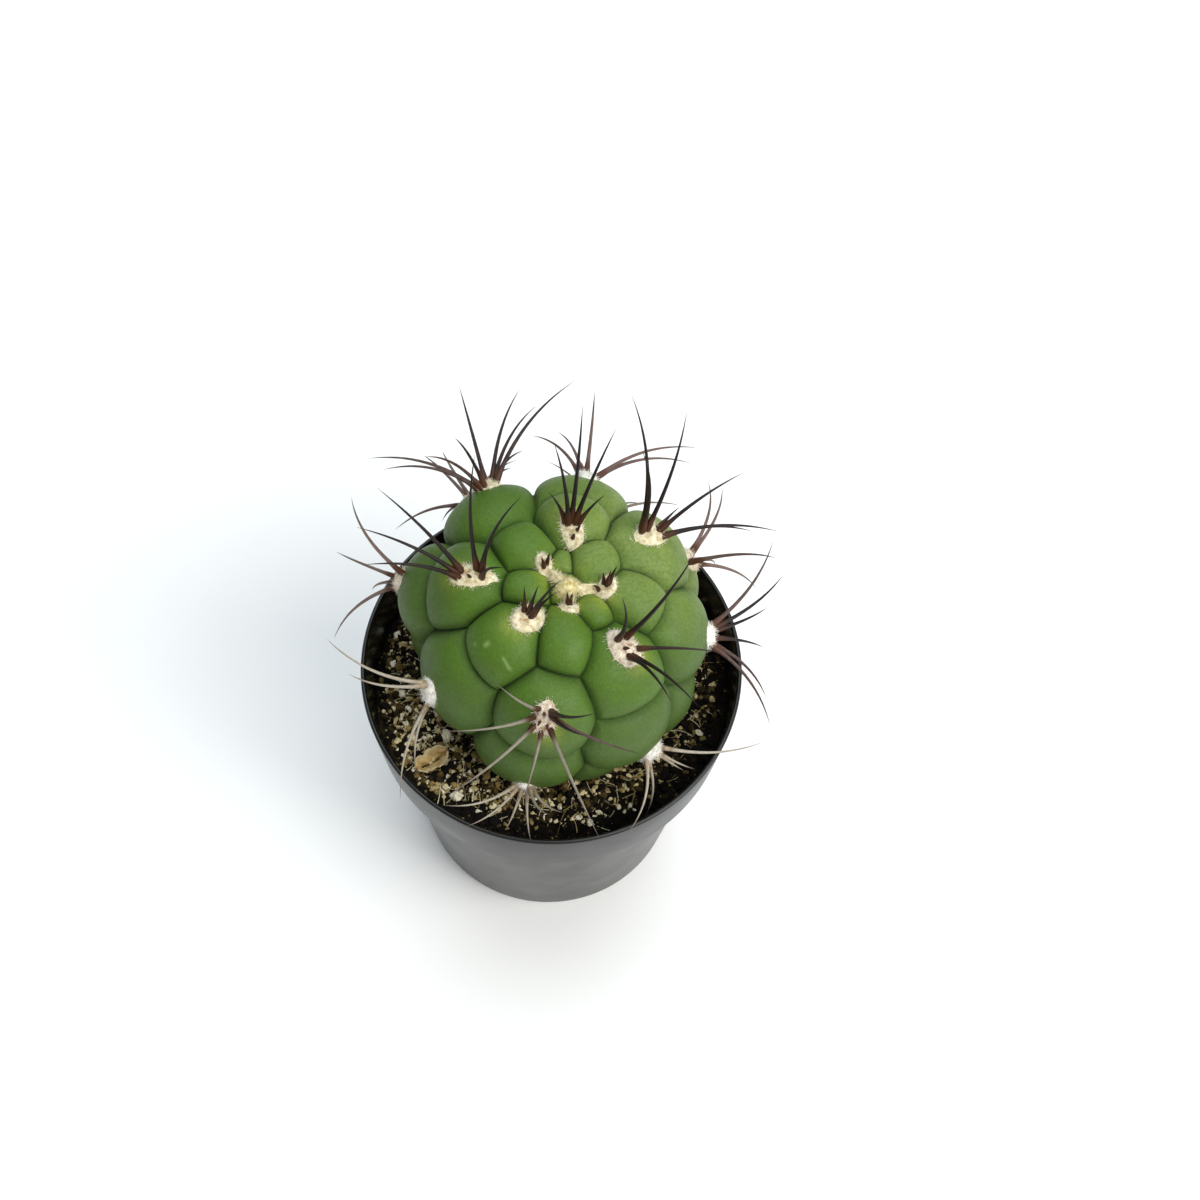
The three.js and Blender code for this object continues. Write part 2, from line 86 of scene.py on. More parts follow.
class Finish:
    """A material whose nodes are added one short call at a time. Sizes are in millimetres, and a
    colour is a hexadecimal screen colour or another node's output."""

    UNDER, OVER, MIXED = 6, 7, 2  # the colour sockets of a Mix node

    def __init__(self, name, rough, **sockets):
        self.material = bpy.data.materials.new(name)
        self.material.use_nodes = True
        self.nodes = self.material.node_tree.nodes
        self.links = self.material.node_tree.links
        self.shader = self.nodes["Principled BSDF"]
        self.shader.inputs["Roughness"].default_value = rough
        for socket, value in sockets.items():
            self.shader.inputs[socket.replace("_", " ")].default_value = value
        self.place = self.nodes.new("ShaderNodeTexCoord").outputs["Object"]

    def feed(self, socket, value):
        """Links an output to an input, or sets the input to a number or a colour."""
        if isinstance(value, bpy.types.NodeSocket):
            self.links.new(value, socket)
        else:
            socket.default_value = paint(value) if isinstance(value, str) else value

    def grain(self, size, detail=3.0, stretch=(1, 1, 1)):
        """Cloudy noise whose blobs are about this many millimetres across."""
        place = self.nodes.new("ShaderNodeMapping")
        self.links.new(self.place, place.inputs["Vector"])
        place.inputs["Scale"].default_value = stretch
        node = self.nodes.new("ShaderNodeTexNoise")
        self.links.new(place.outputs["Vector"], node.inputs["Vector"])
        node.inputs["Scale"].default_value = 1 / (size * MM)
        node.inputs["Detail"].default_value = detail
        return node.outputs["Fac"]

    def cells(self, size):
        """How far each point is from the middle of its cell. Cells are about this size."""
        node = self.nodes.new("ShaderNodeTexVoronoi")
        self.links.new(self.place, node.inputs["Vector"])
        node.inputs["Scale"].default_value = 1 / (size * MM)
        return node.outputs["Distance"]

    def kept(self, name):
        """The number that the mesh keeps under this name."""
        node = self.nodes.new("ShaderNodeAttribute")
        node.attribute_name = name
        return node.outputs["Fac"]

    def steps(self, value, *stops):
        """A colour ramp through (position, colour) stops."""
        node = self.nodes.new("ShaderNodeValToRGB")
        self.feed(node.inputs["Fac"], value)
        ramp = node.color_ramp
        while len(ramp.elements) < len(stops):
            ramp.elements.new(1)
        for element, (position, colour) in zip(ramp.elements, stops):
            element.position = position
            element.color = paint(colour)
        return node.outputs["Color"]

    def span(self, value, low, high, start=0.0, end=1.0):
        """Maps low..high to start..end, smoothly and clamped."""
        node = self.nodes.new("ShaderNodeMapRange")
        node.interpolation_type = "SMOOTHSTEP"
        for socket, number in zip(node.inputs, (value, low, high, start, end)):
            self.feed(socket, number)
        return node.outputs["Result"]

    def calc(self, operation, first, second):
        """Arithmetic on two values, such as MULTIPLY or ADD."""
        node = self.nodes.new("ShaderNodeMath")
        node.operation = operation
        self.feed(node.inputs[0], first)
        self.feed(node.inputs[1], second)
        return node.outputs[0]

    def blend(self, share, first, second):
        """Lays the second colour over the first by a share."""
        node = self.nodes.new("ShaderNodeMix")
        node.data_type = "RGBA"
        self.feed(node.inputs["Factor"], share)
        self.feed(node.inputs[self.UNDER], first)
        self.feed(node.inputs[self.OVER], second)
        return node.outputs[self.MIXED]

    def relief(self, value, depth, under=None):
        """A bump of this many millimetres, over an earlier one if there is one."""
        node = self.nodes.new("ShaderNodeBump")
        node.inputs["Distance"].default_value = depth * MM
        self.feed(node.inputs["Height"], value)
        if under is not None:
            self.links.new(under, node.inputs["Normal"])
        return node.outputs["Normal"]

    def done(self, colour, rough=None, normal=None):
        """Ends the material with its colour, and its roughness and relief where they vary."""
        self.feed(self.shader.inputs["Base Color"], colour)
        if rough is not None:
            self.feed(self.shader.inputs["Roughness"], rough)
        if normal is not None:
            self.links.new(normal, self.shader.inputs["Normal"])
        return self.material


def new_piece(name, points, faces, material=None, smooth=True, edges=()):
    """An object whose mesh has these points, in millimetres in the frame."""
    mesh = bpy.data.meshes.new(name)
    mesh.from_pydata((np.asarray(points, float) * MM).tolist(), edges, faces)
    mesh.polygons.foreach_set("use_smooth", [smooth] * len(mesh.polygons))
    if material:
        mesh.materials.append(material)
    piece = bpy.data.objects.new(name, mesh)
    bpy.context.scene.collection.objects.link(piece)
    return piece


def add_light(name, place, size, watts, colour):
    """A square soft box that faces the plant. Its place and its size are in metres."""
    data = bpy.data.lights.new(name, "AREA")
    data.size = size
    data.energy = watts
    data.color = colour
    light = bpy.data.objects.new(name, data)
    light.location = place
    light.rotation_mode = "QUATERNION"
    light.rotation_quaternion = (LIGHTS_AIM - light.location).to_track_quat("-Z", "Y")
    bpy.context.scene.collection.objects.link(light)


def add_glow(name, heading, strength, colour, glossy=True):
    """A broad even light from far away, which reaches the floor as far as it goes."""
    data = bpy.data.lights.new(name, "SUN")
    data.energy = strength
    data.angle = math.radians(GLOW_WIDTH)
    data.color = colour
    light = bpy.data.objects.new(name, data)
    light.visible_glossy = glossy
    light.rotation_mode = "QUATERNION"
    light.rotation_quaternion = Vector(heading).to_track_quat("-Z", "Y")
    bpy.context.scene.collection.objects.link(light)


add_light("window", place=(0.38, -0.45, 0.95), size=0.45, watts=3.8, colour=(1, 0.985, 0.95))
add_light("side window", place=(0.86, -0.34, 0.85), size=0.7, watts=9.5, colour=(1, 0.985, 0.96))
add_glow("front fill", heading=(0.15, 1, -0.25), strength=0.85, colour=(1, 0.99, 0.97),
         glossy=False)
add_glow("open sky", heading=(0, -0.454, -0.891), strength=1.9, colour=(0.89, 0.955, 1))

# The camera sees a pale wall behind the floor, and the plant is lit by a dimmer bluish sky.
world = bpy.data.worlds.new("studio")
world.use_nodes = True
world_nodes = world.node_tree.nodes
sky_light = world_nodes["Background"]
sky_light.inputs["Color"].default_value = SKY_COLOUR
sky_light.inputs["Strength"].default_value = SKY_STRENGTH
pale_wall = world_nodes.new("ShaderNodeBackground")
pale_wall.inputs["Color"].default_value = WALL_COLOUR
ray = world_nodes.new("ShaderNodeLightPath")
either = world_nodes.new("ShaderNodeMixShader")
for output, socket in ((ray.outputs["Is Camera Ray"], either.inputs["Fac"]),
                       (sky_light.outputs[0], either.inputs[1]),
                       (pale_wall.outputs[0], either.inputs[2]),
                       (either.outputs[0], world_nodes["World Output"].inputs["Surface"])):
    world.node_tree.links.new(output, socket)
bpy.context.scene.world = world

half = FLOOR_SIZE / 2
floor = new_piece("floor", [(-half, -half, 0), (half, -half, 0), (half, half, 0), (-half, half, 0)],
                  [(0, 1, 2, 3)], Finish("floor", 0.6).done("f3f3f1"))

# ---------------------------------------------------------------------------------------------
# Pot. A thin tub of charcoal plastic, injection moulded in one piece, with a stepped collar, a
# rolled edge and drain holes in its floor. It is matt and dusty outside and shiny inside.
# ---------------------------------------------------------------------------------------------
POT_HEIGHT = 89
RIM_RADIUS = 50
COLLAR_DEPTH = 21
COLLAR_FOOT_RADIUS = 48.3
SHOULDER_RADIUS = 45.3
BASE_RADIUS = 37.6
WALL = 1.3
POT_FLOOR = 1.5
OUTER_CORNER = 1
LEDGE_CORNER = 0.5
DRAIN_HOLES = 6
DRAIN_RADIUS = 3.5
DRAIN_CIRCLE = 29
DRAIN_CUT = 6
POT_SIDES = 180
SHARP_ANGLE = 35
COLLAR_FOOT = POT_HEIGHT - COLLAR_DEPTH
LEDGE = COLLAR_FOOT + WALL

# The small bend where the body runs out to the foot of the collar: steps outward and up.
SHOULDER_BEND = [(-0.3, -0.4), (0.1, 0)]


def ringed(name, start, rings, end):
    """A closed skin from one middle point over rings of equally many points to another one."""
    sides = len(rings[0])
    points = np.concatenate([[start], *rings, [end]])
    faces = []
    last_ring = 1 + sides * (len(rings) - 1)
    for step in range(sides):
        beside = (step + 1) % sides
        faces.append((0, 1 + beside, 1 + step))
        for first in range(1, last_ring, sides):
            faces.append((first + step, first + beside, first + sides + beside, first + sides + step))
        faces.append((last_ring + step, last_ring + beside, len(points) - 1))
    return new_piece(name, points, faces)


def turns(count):
    """The angles of a number of even steps round a full circle."""
    return np.arange(count) * 2 * math.pi / count


def circle(radius, height, sides, centre=(0, 0)):
    """Points of a level circle at a height."""
    angles = turns(sides)
    return np.stack([centre[0] + radius * np.cos(angles), centre[1] + radius * np.sin(angles),
                     np.full(sides, height)], 1)


def arc(centre, radius, start, end, steps=5):
    """Points of a rounded corner of a profile, from one angle to another."""
    angles = np.radians(np.linspace(start, end, steps))
    return [(centre[0] + radius * math.cos(a), centre[1] + radius * math.sin(a)) for a in angles]


def plain_copy(piece):
    """Turns an object's evaluated mesh into its plain mesh and removes its modifiers."""
    evaluated = piece.evaluated_get(bpy.context.evaluated_depsgraph_get())
    piece.data = bpy.data.meshes.new_from_object(evaluated)
    piece.modifiers.clear()
    return piece


def corners_of(piece):
    """The places of a mesh's corners, in millimetres."""
    return np.array([corner.co for corner in piece.data.vertices]) / MM


def store(piece, name, values):
    """Keeps one number for each corner of a piece's mesh, for its material to read."""
    kept = piece.data.attributes.new(name, "FLOAT", "POINT")
    kept.data.foreach_set("value", np.ascontiguousarray(values, np.float32).ravel())


def make_pot():
    """The pot's profile turned round: up the outside, over the rolled edge and down the inside."""
    lip = WALL / 2
    inside = COLLAR_FOOT_RADIUS - WALL
    profile = arc((BASE_RADIUS - OUTER_CORNER, OUTER_CORNER), OUTER_CORNER, -90, -5)
    profile += [(SHOULDER_RADIUS + out, COLLAR_FOOT + up) for out, up in SHOULDER_BEND]
    profile += arc((COLLAR_FOOT_RADIUS - OUTER_CORNER, COLLAR_FOOT + OUTER_CORNER), OUTER_CORNER,
                   -90, 0, 8)
    profile += arc((RIM_RADIUS - lip, POT_HEIGHT - lip), lip, 0, 180, 9)
    profile += [(inside, LEDGE + LEDGE_CORNER), (inside - LEDGE_CORNER, LEDGE)]
    profile += [(SHOULDER_RADIUS - WALL, LEDGE), (BASE_RADIUS - WALL, POT_FLOOR)]
    rings = [circle(radius, height, POT_SIDES) for radius, height in profile]
    return ringed("pot_shell", (0, 0, 0), rings, (0, 0, POT_FLOOR))


def cut_drain_holes(shell):
    """Cuts the ring of round holes with one joined cutter."""
    cutter = bmesh.new()
    for angle in turns(DRAIN_HOLES):
        made = bmesh.ops.create_cone(cutter, cap_ends=True, segments=32, depth=DRAIN_CUT * MM,
                                     radius1=DRAIN_RADIUS * MM, radius2=DRAIN_RADIUS * MM)
        move = Vector((DRAIN_CIRCLE * math.cos(angle), DRAIN_CIRCLE * math.sin(angle), 0)) * MM
        bmesh.ops.translate(cutter, verts=made["verts"], vec=move)
    mesh = bpy.data.meshes.new("drain_cutter")
    cutter.to_mesh(mesh)
    cutter.free()
    tool = bpy.data.objects.new("drain_cutter", mesh)
    bpy.context.scene.collection.objects.link(tool)
    boolean = shell.modifiers.new("drains", "BOOLEAN")
    boolean.object = tool
    boolean.solver = "EXACT"
    plain_copy(shell)
    bpy.data.objects.remove(tool)


def pot_plastic():
    """Black satin plastic. A thin even haze of dust dulls the outside, with a few faint scuffs."""
    finish = Finish("pot_plastic", 0.35, Specular_IOR_Level=0.38)
    dust = finish.grain(14)
    streak = finish.grain(4, stretch=(1, 1, 0.08))
    scuff = finish.span(finish.grain(0.9, 5, stretch=(1, 1, 2.5)), 0.6, 0.74)
    outside = finish.kept("outside")
    haze = finish.calc("MULTIPLY", outside, finish.span(dust, 0.2, 0.8, 0.8, 1.0))
    haze = finish.calc("MULTIPLY", haze, finish.span(streak, 0.2, 0.8, 0.9, 1.0))
    colour = finish.blend(haze, "0b0b09", "171713")
    colour = finish.blend(finish.calc("MULTIPLY", scuff, 0.1), colour, "77776f")
    rough = finish.calc("ADD", finish.span(outside, 0, 1, 0.18, 0.3),
                        finish.span(dust, 0.3, 0.7, 0, 0.06))
    return finish.done(colour, rough, finish.relief(finish.grain(0.45), 0.02))


pot = make_pot()
cut_drain_holes(pot)
pot.data.set_sharp_from_angle(angle=math.radians(SHARP_ANGLE))
pot.data.materials.clear()
pot.data.materials.append(pot_plastic())
shell_points = corners_of(pot)
wall_middle = np.interp(shell_points[:, 2], [0, COLLAR_FOOT, COLLAR_FOOT + 0.1, POT_HEIGHT],
                        [BASE_RADIUS, SHOULDER_RADIUS, COLLAR_FOOT_RADIUS, RIM_RADIUS]) - WALL / 2
from_axis = np.hypot(shell_points[:, 0], shell_points[:, 1])
store(pot, "outside", (from_axis > wall_middle) | (shell_points[:, 2] < POT_FLOOR / 2))
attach(pot, "root")
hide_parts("pot")

# ---------------------------------------------------------------------------------------------
# Stem. The grown body of the plant: rounded tubercles on a spiral that press against each other
# in sharp creases, under a waxy green skin, and a plain neck that stands in the soil.
# ---------------------------------------------------------------------------------------------
STEM_CENTRE = np.array([1, 3, 103])
STEM_LEAN = 4
FIRST_AZIMUTH = -87
TURN = -136
NECK_RADIUS = 25
NECK_FOOT = 61
SKIN_SPLITS = 128
FULL_GROWN_DOWN = 40
YOUNGEST = 0.35
GROOVE_DEPTH = 1.5
GROOVE_WIDTH = 0.62
GROOVE_FLOOR = 0.15
PILLOW_DEPTH = 1.2
PILLOW_LEAD = 1.5
UNEVEN = 0.35
UNEVEN_SIZE = 9
# The first two widths are of the painted shade in each crease and along its sides, in millimetres.
CREASE_WIDTH = 0.33
EDGE_WIDTH = 1.4
TONE_EDGE = 2
# The side toward the back-right lights is painted paler, a painted highlight: its heading, and where
# it starts and fills in.
PAINTED_LIGHT_SIDE = np.array([0.62, 0.58, 0.53])
PAINTED_LIGHT_FROM = 0.55
PAINTED_LIGHT_SPAN = 0.4

# The distance to a crease is felt by small steps in two directions aside, at a least steepness.
FEEL = 0.008
ANY_SKEW = (0.3, -0.2, 0.1)
LEAST_STEEPNESS = 0.12

# Small pale scars in the skin: where each starts and ends, and half its width.
SCARS = [
    ((-18.7, -12.7, 124.8), (-18.9, -12.7, 124.7), 0.35),
    ((-15.4, -13.4, 126.6), (-15.9, -13.6, 126.3), 0.6),
    ((-11.7, -16.8, 126.1), (-9.5, -19.7, 124.0), 0.32),
]

# Each tubercle's place in the spiral, how far it is pushed round from that place, its angle down
# from the crown, the distance of its top from the body's centre, and the radius of its ball.
TUBERCLES = [
    (-5, 0, 0, 25.5, 6), (-4, 3, 19, 27, 7), (-3, -2, 30, 28, 8), (-2, -2, 30, 29, 9),
    (-1, -4, 31, 30.5, 10), (0, -3, 46, 31.5, 13), (1, -2, 45, 32.5, 13.5), (2, 1, 54, 33, 15),
    (3, 1, 58, 34, 15.5), (4, -5, 51, 36.5, 13.5), (5, -5, 74, 35.5, 19), (6, -5, 66, 37.5, 16),
    (7, -3, 70, 39, 18.5), (8, -1, 78, 38.5, 16.5), (9, -2, 76, 41, 17.5), (10, 5, 87, 39, 19.5),
    (11, -1, 93, 38, 21), (12, 1, 71, 40, 18), (13, 0, 101, 40, 20), (14, -3, 87, 42, 15.5),
    (15, 0, 94, 41, 18), (16, 5, 110, 41, 20), (17, 0, 104, 41, 19), (18, -9, 115, 41, 19.5),
    (19, -1, 117, 38.5, 20), (20, 0, 113, 41.5, 20.5), (21, -6, 123, 40.5, 20.5),
    (22, 0, 119, 42, 20), (23, 0, 119, 42, 21),
]
lean_cos = math.cos(math.radians(STEM_LEAN))
lean_sin = math.sin(math.radians(STEM_LEAN))
FROM_PLANT = np.array([[lean_cos, 0, lean_sin], [0, 1, 0], [-lean_sin, 0, lean_cos]])


def on_spiral(place, nudge, polar):
    """The direction from the body's centre, in the plant's frame, of a place on the spiral."""
    azimuth = math.radians(FIRST_AZIMUTH + TURN * place + nudge)
    down = math.radians(polar)
    return np.array([math.sin(down) * math.cos(azimuth), math.sin(down) * math.sin(azimuth),
                     math.cos(down)])


ball_centres = np.array([on_spiral(*row[:3]) * (row[3] - row[4]) for row in TUBERCLES])
ball_insets = np.array([row[4] ** 2 for row in TUBERCLES]) - (ball_centres ** 2).sum(1)


def ball_reach(directions):
    """How far each ball reaches in each direction, or nothing where the ball isn't met."""
    along = directions @ ball_centres.T
    squared = along ** 2 + ball_insets
    return np.where(squared > 0, along + np.sqrt(np.maximum(squared, 0)), 0)


def skin_reach(directions):
    """How far the outermost ball reaches in each direction."""
    return ball_reach(directions).max(1)


def unit(rows):
    """The same directions, each of length one."""
    return rows / np.linalg.norm(rows, axis=1, keepdims=True)


def from_crease(directions):
    """The distance on the skin to the nearest crease, and the ball that each direction is on."""
    reach = ball_reach(directions)
    first, second = np.argsort(-reach, axis=1)[:, :2].T
    row = np.arange(len(directions))
    lead = reach[row, first] - reach[row, second]
    aside = unit(np.cross(directions, np.roll(directions, 1, axis=1) + ANY_SKEW))
    slopes = []
    for way in (aside, np.cross(directions, aside)):
        reach_there = ball_reach(unit(directions + FEEL * way))
        slopes.append(reach_there[row, first] - reach_there[row, second] - lead)
    steepness = np.hypot(*slopes) / (FEEL * reach[row, first])
    return lead / np.maximum(steepness, LEAST_STEEPNESS), first


def beside_others(directions, grown):
    """How close the other balls come to the outermost one: one on a crease, none far from any."""
    reach = ball_reach(directions)
    lead = reach.max(1, keepdims=True) - reach
    others = np.exp(-lead / (PILLOW_LEAD * grown[:, None])).sum(1) - 1
    return 2 * others / (1 + others)


def on_skin(directions, rise=0.0):
    """Points of the frame at a height over the skin, in directions in the plant's frame."""
    directions = np.atleast_2d(directions)
    reach = skin_reach(directions) + rise
    return STEM_CENTRE + (directions * reach[:, None]) @ FROM_PLANT.T


def cube_sphere(splits):
    """Unit directions and quads of a sphere drawn on the six sides of a cube."""
    steps = np.tan(np.linspace(-math.pi / 4, math.pi / 4, splits + 1))
    a, b = (grid.ravel() for grid in np.meshgrid(steps, steps, indexing="ij"))
    one = np.ones_like(a)
    sides = [(one, a, b), (-one, b, a), (b, one, a), (a, -one, b), (a, b, one), (b, a, -one)]
    points = unit(np.concatenate([np.stack(side, 1) for side in sides]))
    row = splits + 1
    first = (np.arange(splits)[:, None] * row + np.arange(splits)).ravel()
    quads = np.stack([first, first + row, first + row + 1, first + 1], 1)
    quads = np.concatenate([quads + side * row * row for side in range(6)])
    _, kept, back = np.unique(points.round(6), axis=0, return_index=True, return_inverse=True)
    return points[kept], back.ravel()[quads]


def scarred(points):
    """How far into a scar each point of the skin is."""
    scar = np.zeros(len(points))
    for start, end, wide in SCARS:
        line = np.subtract(end, start)
        share = np.clip((points - start) @ line / (line @ line), 0, 1)
        away = np.linalg.norm(points - start - share[:, None] * line, axis=1)
        scar = np.maximum(scar, np.exp(-(away / wide) ** 2))
    return scar


def make_stem():
    """The skin over the outermost balls, sunk at the creases, with a plain neck under it."""
    directions, quads = cube_sphere(SKIN_SPLITS)
    reach = skin_reach(directions)
    uneven = np.array([noise.noise(Vector(p) / UNEVEN_SIZE) for p in directions * reach[:, None]])
    distance, ball = from_crease(directions)
    down = np.degrees(np.arccos(np.clip(directions[:, 2], -1, 1)))
    grown = np.clip(down / FULL_GROWN_DOWN, YOUNGEST, 1)
    groove = np.exp(-np.hypot(distance, GROOVE_FLOOR) / (GROOVE_WIDTH * grown))
    sunk = grown * (GROOVE_DEPTH * groove + PILLOW_DEPTH * beside_others(directions, grown))
    reach = reach - sunk + UNEVEN * uneven
    upright = directions @ FROM_PLANT.T
    sideways = np.maximum(np.hypot(upright[:, 0], upright[:, 1]), 1e-6)
    downward = np.maximum(-upright[:, 2], 1e-6)
    neck = np.minimum(NECK_RADIUS / sideways, (STEM_CENTRE[2] - NECK_FOOT) / downward)
    on_neck = (upright[:, 2] < 0) & (neck > reach)
    points = STEM_CENTRE + upright * np.where(on_neck, neck, reach)[:, None]
    skin = new_piece("stem_skin", points, quads.tolist())
    # Crease and edge mark where shade is painted into and beside the creases; edge also roughens the
    # skin there.
    store(skin, "crease", np.where(on_neck, 0, np.exp(-(distance / CREASE_WIDTH) ** 2)))
    store(skin, "edge", np.where(on_neck, 0, np.exp(-distance / (EDGE_WIDTH * grown))))
    store(skin, "down", down / 90)
    store(skin, "cork", on_neck)
    # Marks the back-right side for the painted highlight.
    store(skin, "painted_sunlit_side", np.clip((upright @ PAINTED_LIGHT_SIDE - PAINTED_LIGHT_FROM) / PAINTED_LIGHT_SPAN, 0, 1))
    tones = np.random.default_rng(4).uniform(-1, 1, len(TUBERCLES))
    store(skin, "tone", tones[ball] * (1 - np.exp(-distance / TONE_EDGE)))
    store(skin, "scar", scarred(points))
    return skin


def skin_finish():
    """Waxy green skin: fresh round the wool and greyer low on the flanks. Painted shade darkens the
    creases and the tubercles' sides beside them, and a painted highlight lightens the back-right
    flanks.
    """
    finish = Finish("cactus_skin", 0.5, Subsurface_Weight=0.04, Subsurface_Scale=0.002,
                    Subsurface_Radius=(0.5, 1, 0.25), Specular_IOR_Level=0.25)
    cloud = finish.grain(8)
    fine = finish.grain(0.8, 4)
    pores = finish.grain(0.3, 2)

    flank = finish.calc("ADD", finish.span(finish.kept("down"), 0.25, 1.1),
                        finish.span(cloud, 0.3, 0.7, -0.2, 0.2))
    flank = finish.calc("SUBTRACT", flank, finish.calc("MULTIPLY", finish.kept("tone"), 0.22))
    colour = finish.blend(finish.span(flank, 0, 1), "456716", "435929")
    glow = finish.calc("MULTIPLY", finish.kept("glow"), finish.span(cloud, 0.25, 0.6, 0.6, 1))
    colour = finish.blend(finish.span(glow, 0, 1, 0, 0.68), colour, "959f3a")
    # Painted highlight: pale grey-green patches on the back-right flanks, where the lights fall.
    painted_sunlit = finish.calc("MULTIPLY", finish.kept("painted_sunlit_side"),
                           finish.span(finish.grain(11), 0.3, 0.6, 0.55, 1))
    colour = finish.blend(finish.calc("MULTIPLY", painted_sunlit, 0.6), colour, "8d9c56")
    colour = finish.blend(finish.span(fine, 0.35, 0.7, 0, 0.35), colour, "384c1b")
    colour = finish.blend(finish.span(pores, 0.35, 0.65, 0, 0.22), colour, "6c8434")
    # Painted shade: the tubercles darken toward each crease, and the crease itself is painted nearly
    # black.
    colour = finish.blend(finish.span(finish.kept("edge"), 0, 1, 0, 0.34), colour, "26400f")
    crease = finish.calc("MULTIPLY", finish.kept("crease"), finish.span(cloud, 0.3, 0.7, 0.7, 1))
    colour = finish.blend(finish.span(crease, 0.1, 0.9, 0, 0.85), colour, "0c2005")
    cork = finish.steps(finish.grain(2.2, 5), (0.3, "2c2317"), (0.7, "76664a"))
    colour = finish.blend(finish.kept("cork"), colour, cork)
    speck = finish.span(finish.cells(5), 0.02, 0.05, 1, 0)
    speck = finish.calc("MULTIPLY", speck, finish.span(finish.grain(12, 1), 0.58, 0.64))
    speck = finish.calc("MAXIMUM", finish.calc("MULTIPLY", speck, 0.5),
                        finish.calc("MULTIPLY", finish.kept("scar"), 0.6))
    colour = finish.blend(speck, colour, "93a86a")

    relief = finish.relief(fine, 0.06, finish.relief(finish.grain(2.6, 2), 0.15))
    relief = finish.relief(pores, 0.03, relief)
    rough = finish.calc("ADD", finish.span(fine, 0.2, 0.8, 0.42, 0.56),
                        finish.calc("MULTIPLY", finish.kept("edge"), 0.35))
    return finish.done(colour, rough, relief)


stem = make_stem()
stem.data.materials.append(skin_finish())
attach(stem, "root")
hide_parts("stem")

# ---------------------------------------------------------------------------------------------
# Soil. Dark peat and composted bark that fills the pot to 16 mm under the edge and closes round
# the stem, with pale grit, bark crumbs and root fibres on its lumpy top.
# ---------------------------------------------------------------------------------------------
SOIL_TOP = POT_HEIGHT - 16
SOIL_RADIUS = RIM_RADIUS - 2.7
SOIL_GAP = 0.1
HOLE_RADIUS = NECK_RADIUS + 0.4
HOLE_FLOOR = NECK_FOOT - 0.3
LIP_DIP = 1.8
LIP_WIDTH = 7
SOIL_SIDES = 240
SOIL_RINGS = 40
RINGS_BELOW = 3
CLOD_HEIGHT = 0.9
CLOD_SIZE = 5
CRUMBLE_HEIGHT = 0.45
CRUMBLE_SIZE = 1.6
SOIL_MARGIN = 1.2
FIBRE_MARGIN = 5
FEWEST_FIBRES = 0.3
DAMP_AND_SHADOW_POWER = 3

# Long low waves of the soil's top: the height of each, how fast it runs along X and along Y, and
# where it starts.
WAVES = [(0.6, 0.31, 0.08, 1.1), (0.55, -0.11, 0.29, -0.4), (0.45, 0.62, -0.45, 0),
         (0.3, 0.55, 0.9, 2)]

# Round the soil: a bearing, how gravelly the dry top is there, and how wide the dark edge along
# the wall is. The dark edge is damp soil and, at the front where it is widest, also a painted
# shadow of the wall.
DRYNESS = [(0, 0.7, 4), (60, 0.5, 3), (150, 0.45, 2), (190, 0.9, 2), (225, 1, 4), (240, 1, 11),
           (270, 0.8, 14), (300, 0.6, 12), (330, 0.55, 8), (360, 0.7, 4)]


def soil_height(x, y):
    """The height of the lumpy top, which sinks a little toward the stem."""
    from_hole = np.hypot(x - STEM_CENTRE[0], y - STEM_CENTRE[1]) - HOLE_RADIUS
    clear = np.clip(from_hole / LIP_WIDTH, 0, 1)
    waves = sum(high * np.sin(along_x * x + along_y * y + start)
                for high, along_x, along_y, start in WAVES)
    return SOIL_TOP + waves * clear - LIP_DIP * (1 - clear) ** 2


def make_soil():
    """The block of mix. Its top is drawn in rings that close in from the wall to the stem's hole."""
    collar_slope = (RIM_RADIUS - COLLAR_FOOT_RADIUS) / COLLAR_DEPTH
    inset = WALL + SOIL_GAP
    top_radius = COLLAR_FOOT_RADIUS + collar_slope * (SOIL_TOP - COLLAR_FOOT) - inset
    low = LEDGE + SOIL_GAP
    wide = circle(top_radius, SOIL_TOP, SOIL_SIDES)
    narrow = circle(HOLE_RADIUS, SOIL_TOP, SOIL_SIDES, STEM_CENTRE)
    rings = [circle(BASE_RADIUS - inset, POT_FLOOR + SOIL_GAP, SOIL_SIDES),
             circle(SHOULDER_RADIUS - inset, low, SOIL_SIDES),
             circle(COLLAR_FOOT_RADIUS - inset, low, SOIL_SIDES)]
    for share in np.linspace(0, 1, SOIL_RINGS):
        ring = wide + (narrow - wide) * share
        ring[:, 2] = soil_height(ring[:, 0], ring[:, 1])
        for point in ring:
            place = Vector(point)
            point[2] += (CLOD_HEIGHT * noise.noise(place / CLOD_SIZE)
                         + CRUMBLE_HEIGHT * noise.noise(place / CRUMBLE_SIZE))
        rings.append(ring)
    rings.append(circle(HOLE_RADIUS, HOLE_FLOOR, SOIL_SIDES, STEM_CENTRE))
    return ringed("soil_bed", (0, 0, POT_FLOOR + SOIL_GAP), rings,
                  (STEM_CENTRE[0], STEM_CENTRE[1], HOLE_FLOOR))


def peat_finish():
    """Dark peat in clods, with patches of pale grit specks."""
    finish = Finish("peat", 0.95, Specular_IOR_Level=0.15)
    clods = finish.grain(3, 6)
    grit = finish.span(finish.cells(1.4), 0.15, 0.35, 1, 0)
    grit = finish.calc("MULTIPLY", grit, finish.span(finish.grain(4, 2), 0.5, 0.62))
    colour = finish.steps(clods, (0.3, "060403"), (0.55, "17110a"), (0.75, "3c2f18"))
    colour = finish.blend(grit, colour, "8d7c50")
    relief = finish.relief(finish.grain(0.7, 5), 0.4, finish.relief(clods, 0.8))
    return finish.done(colour, normal=relief)


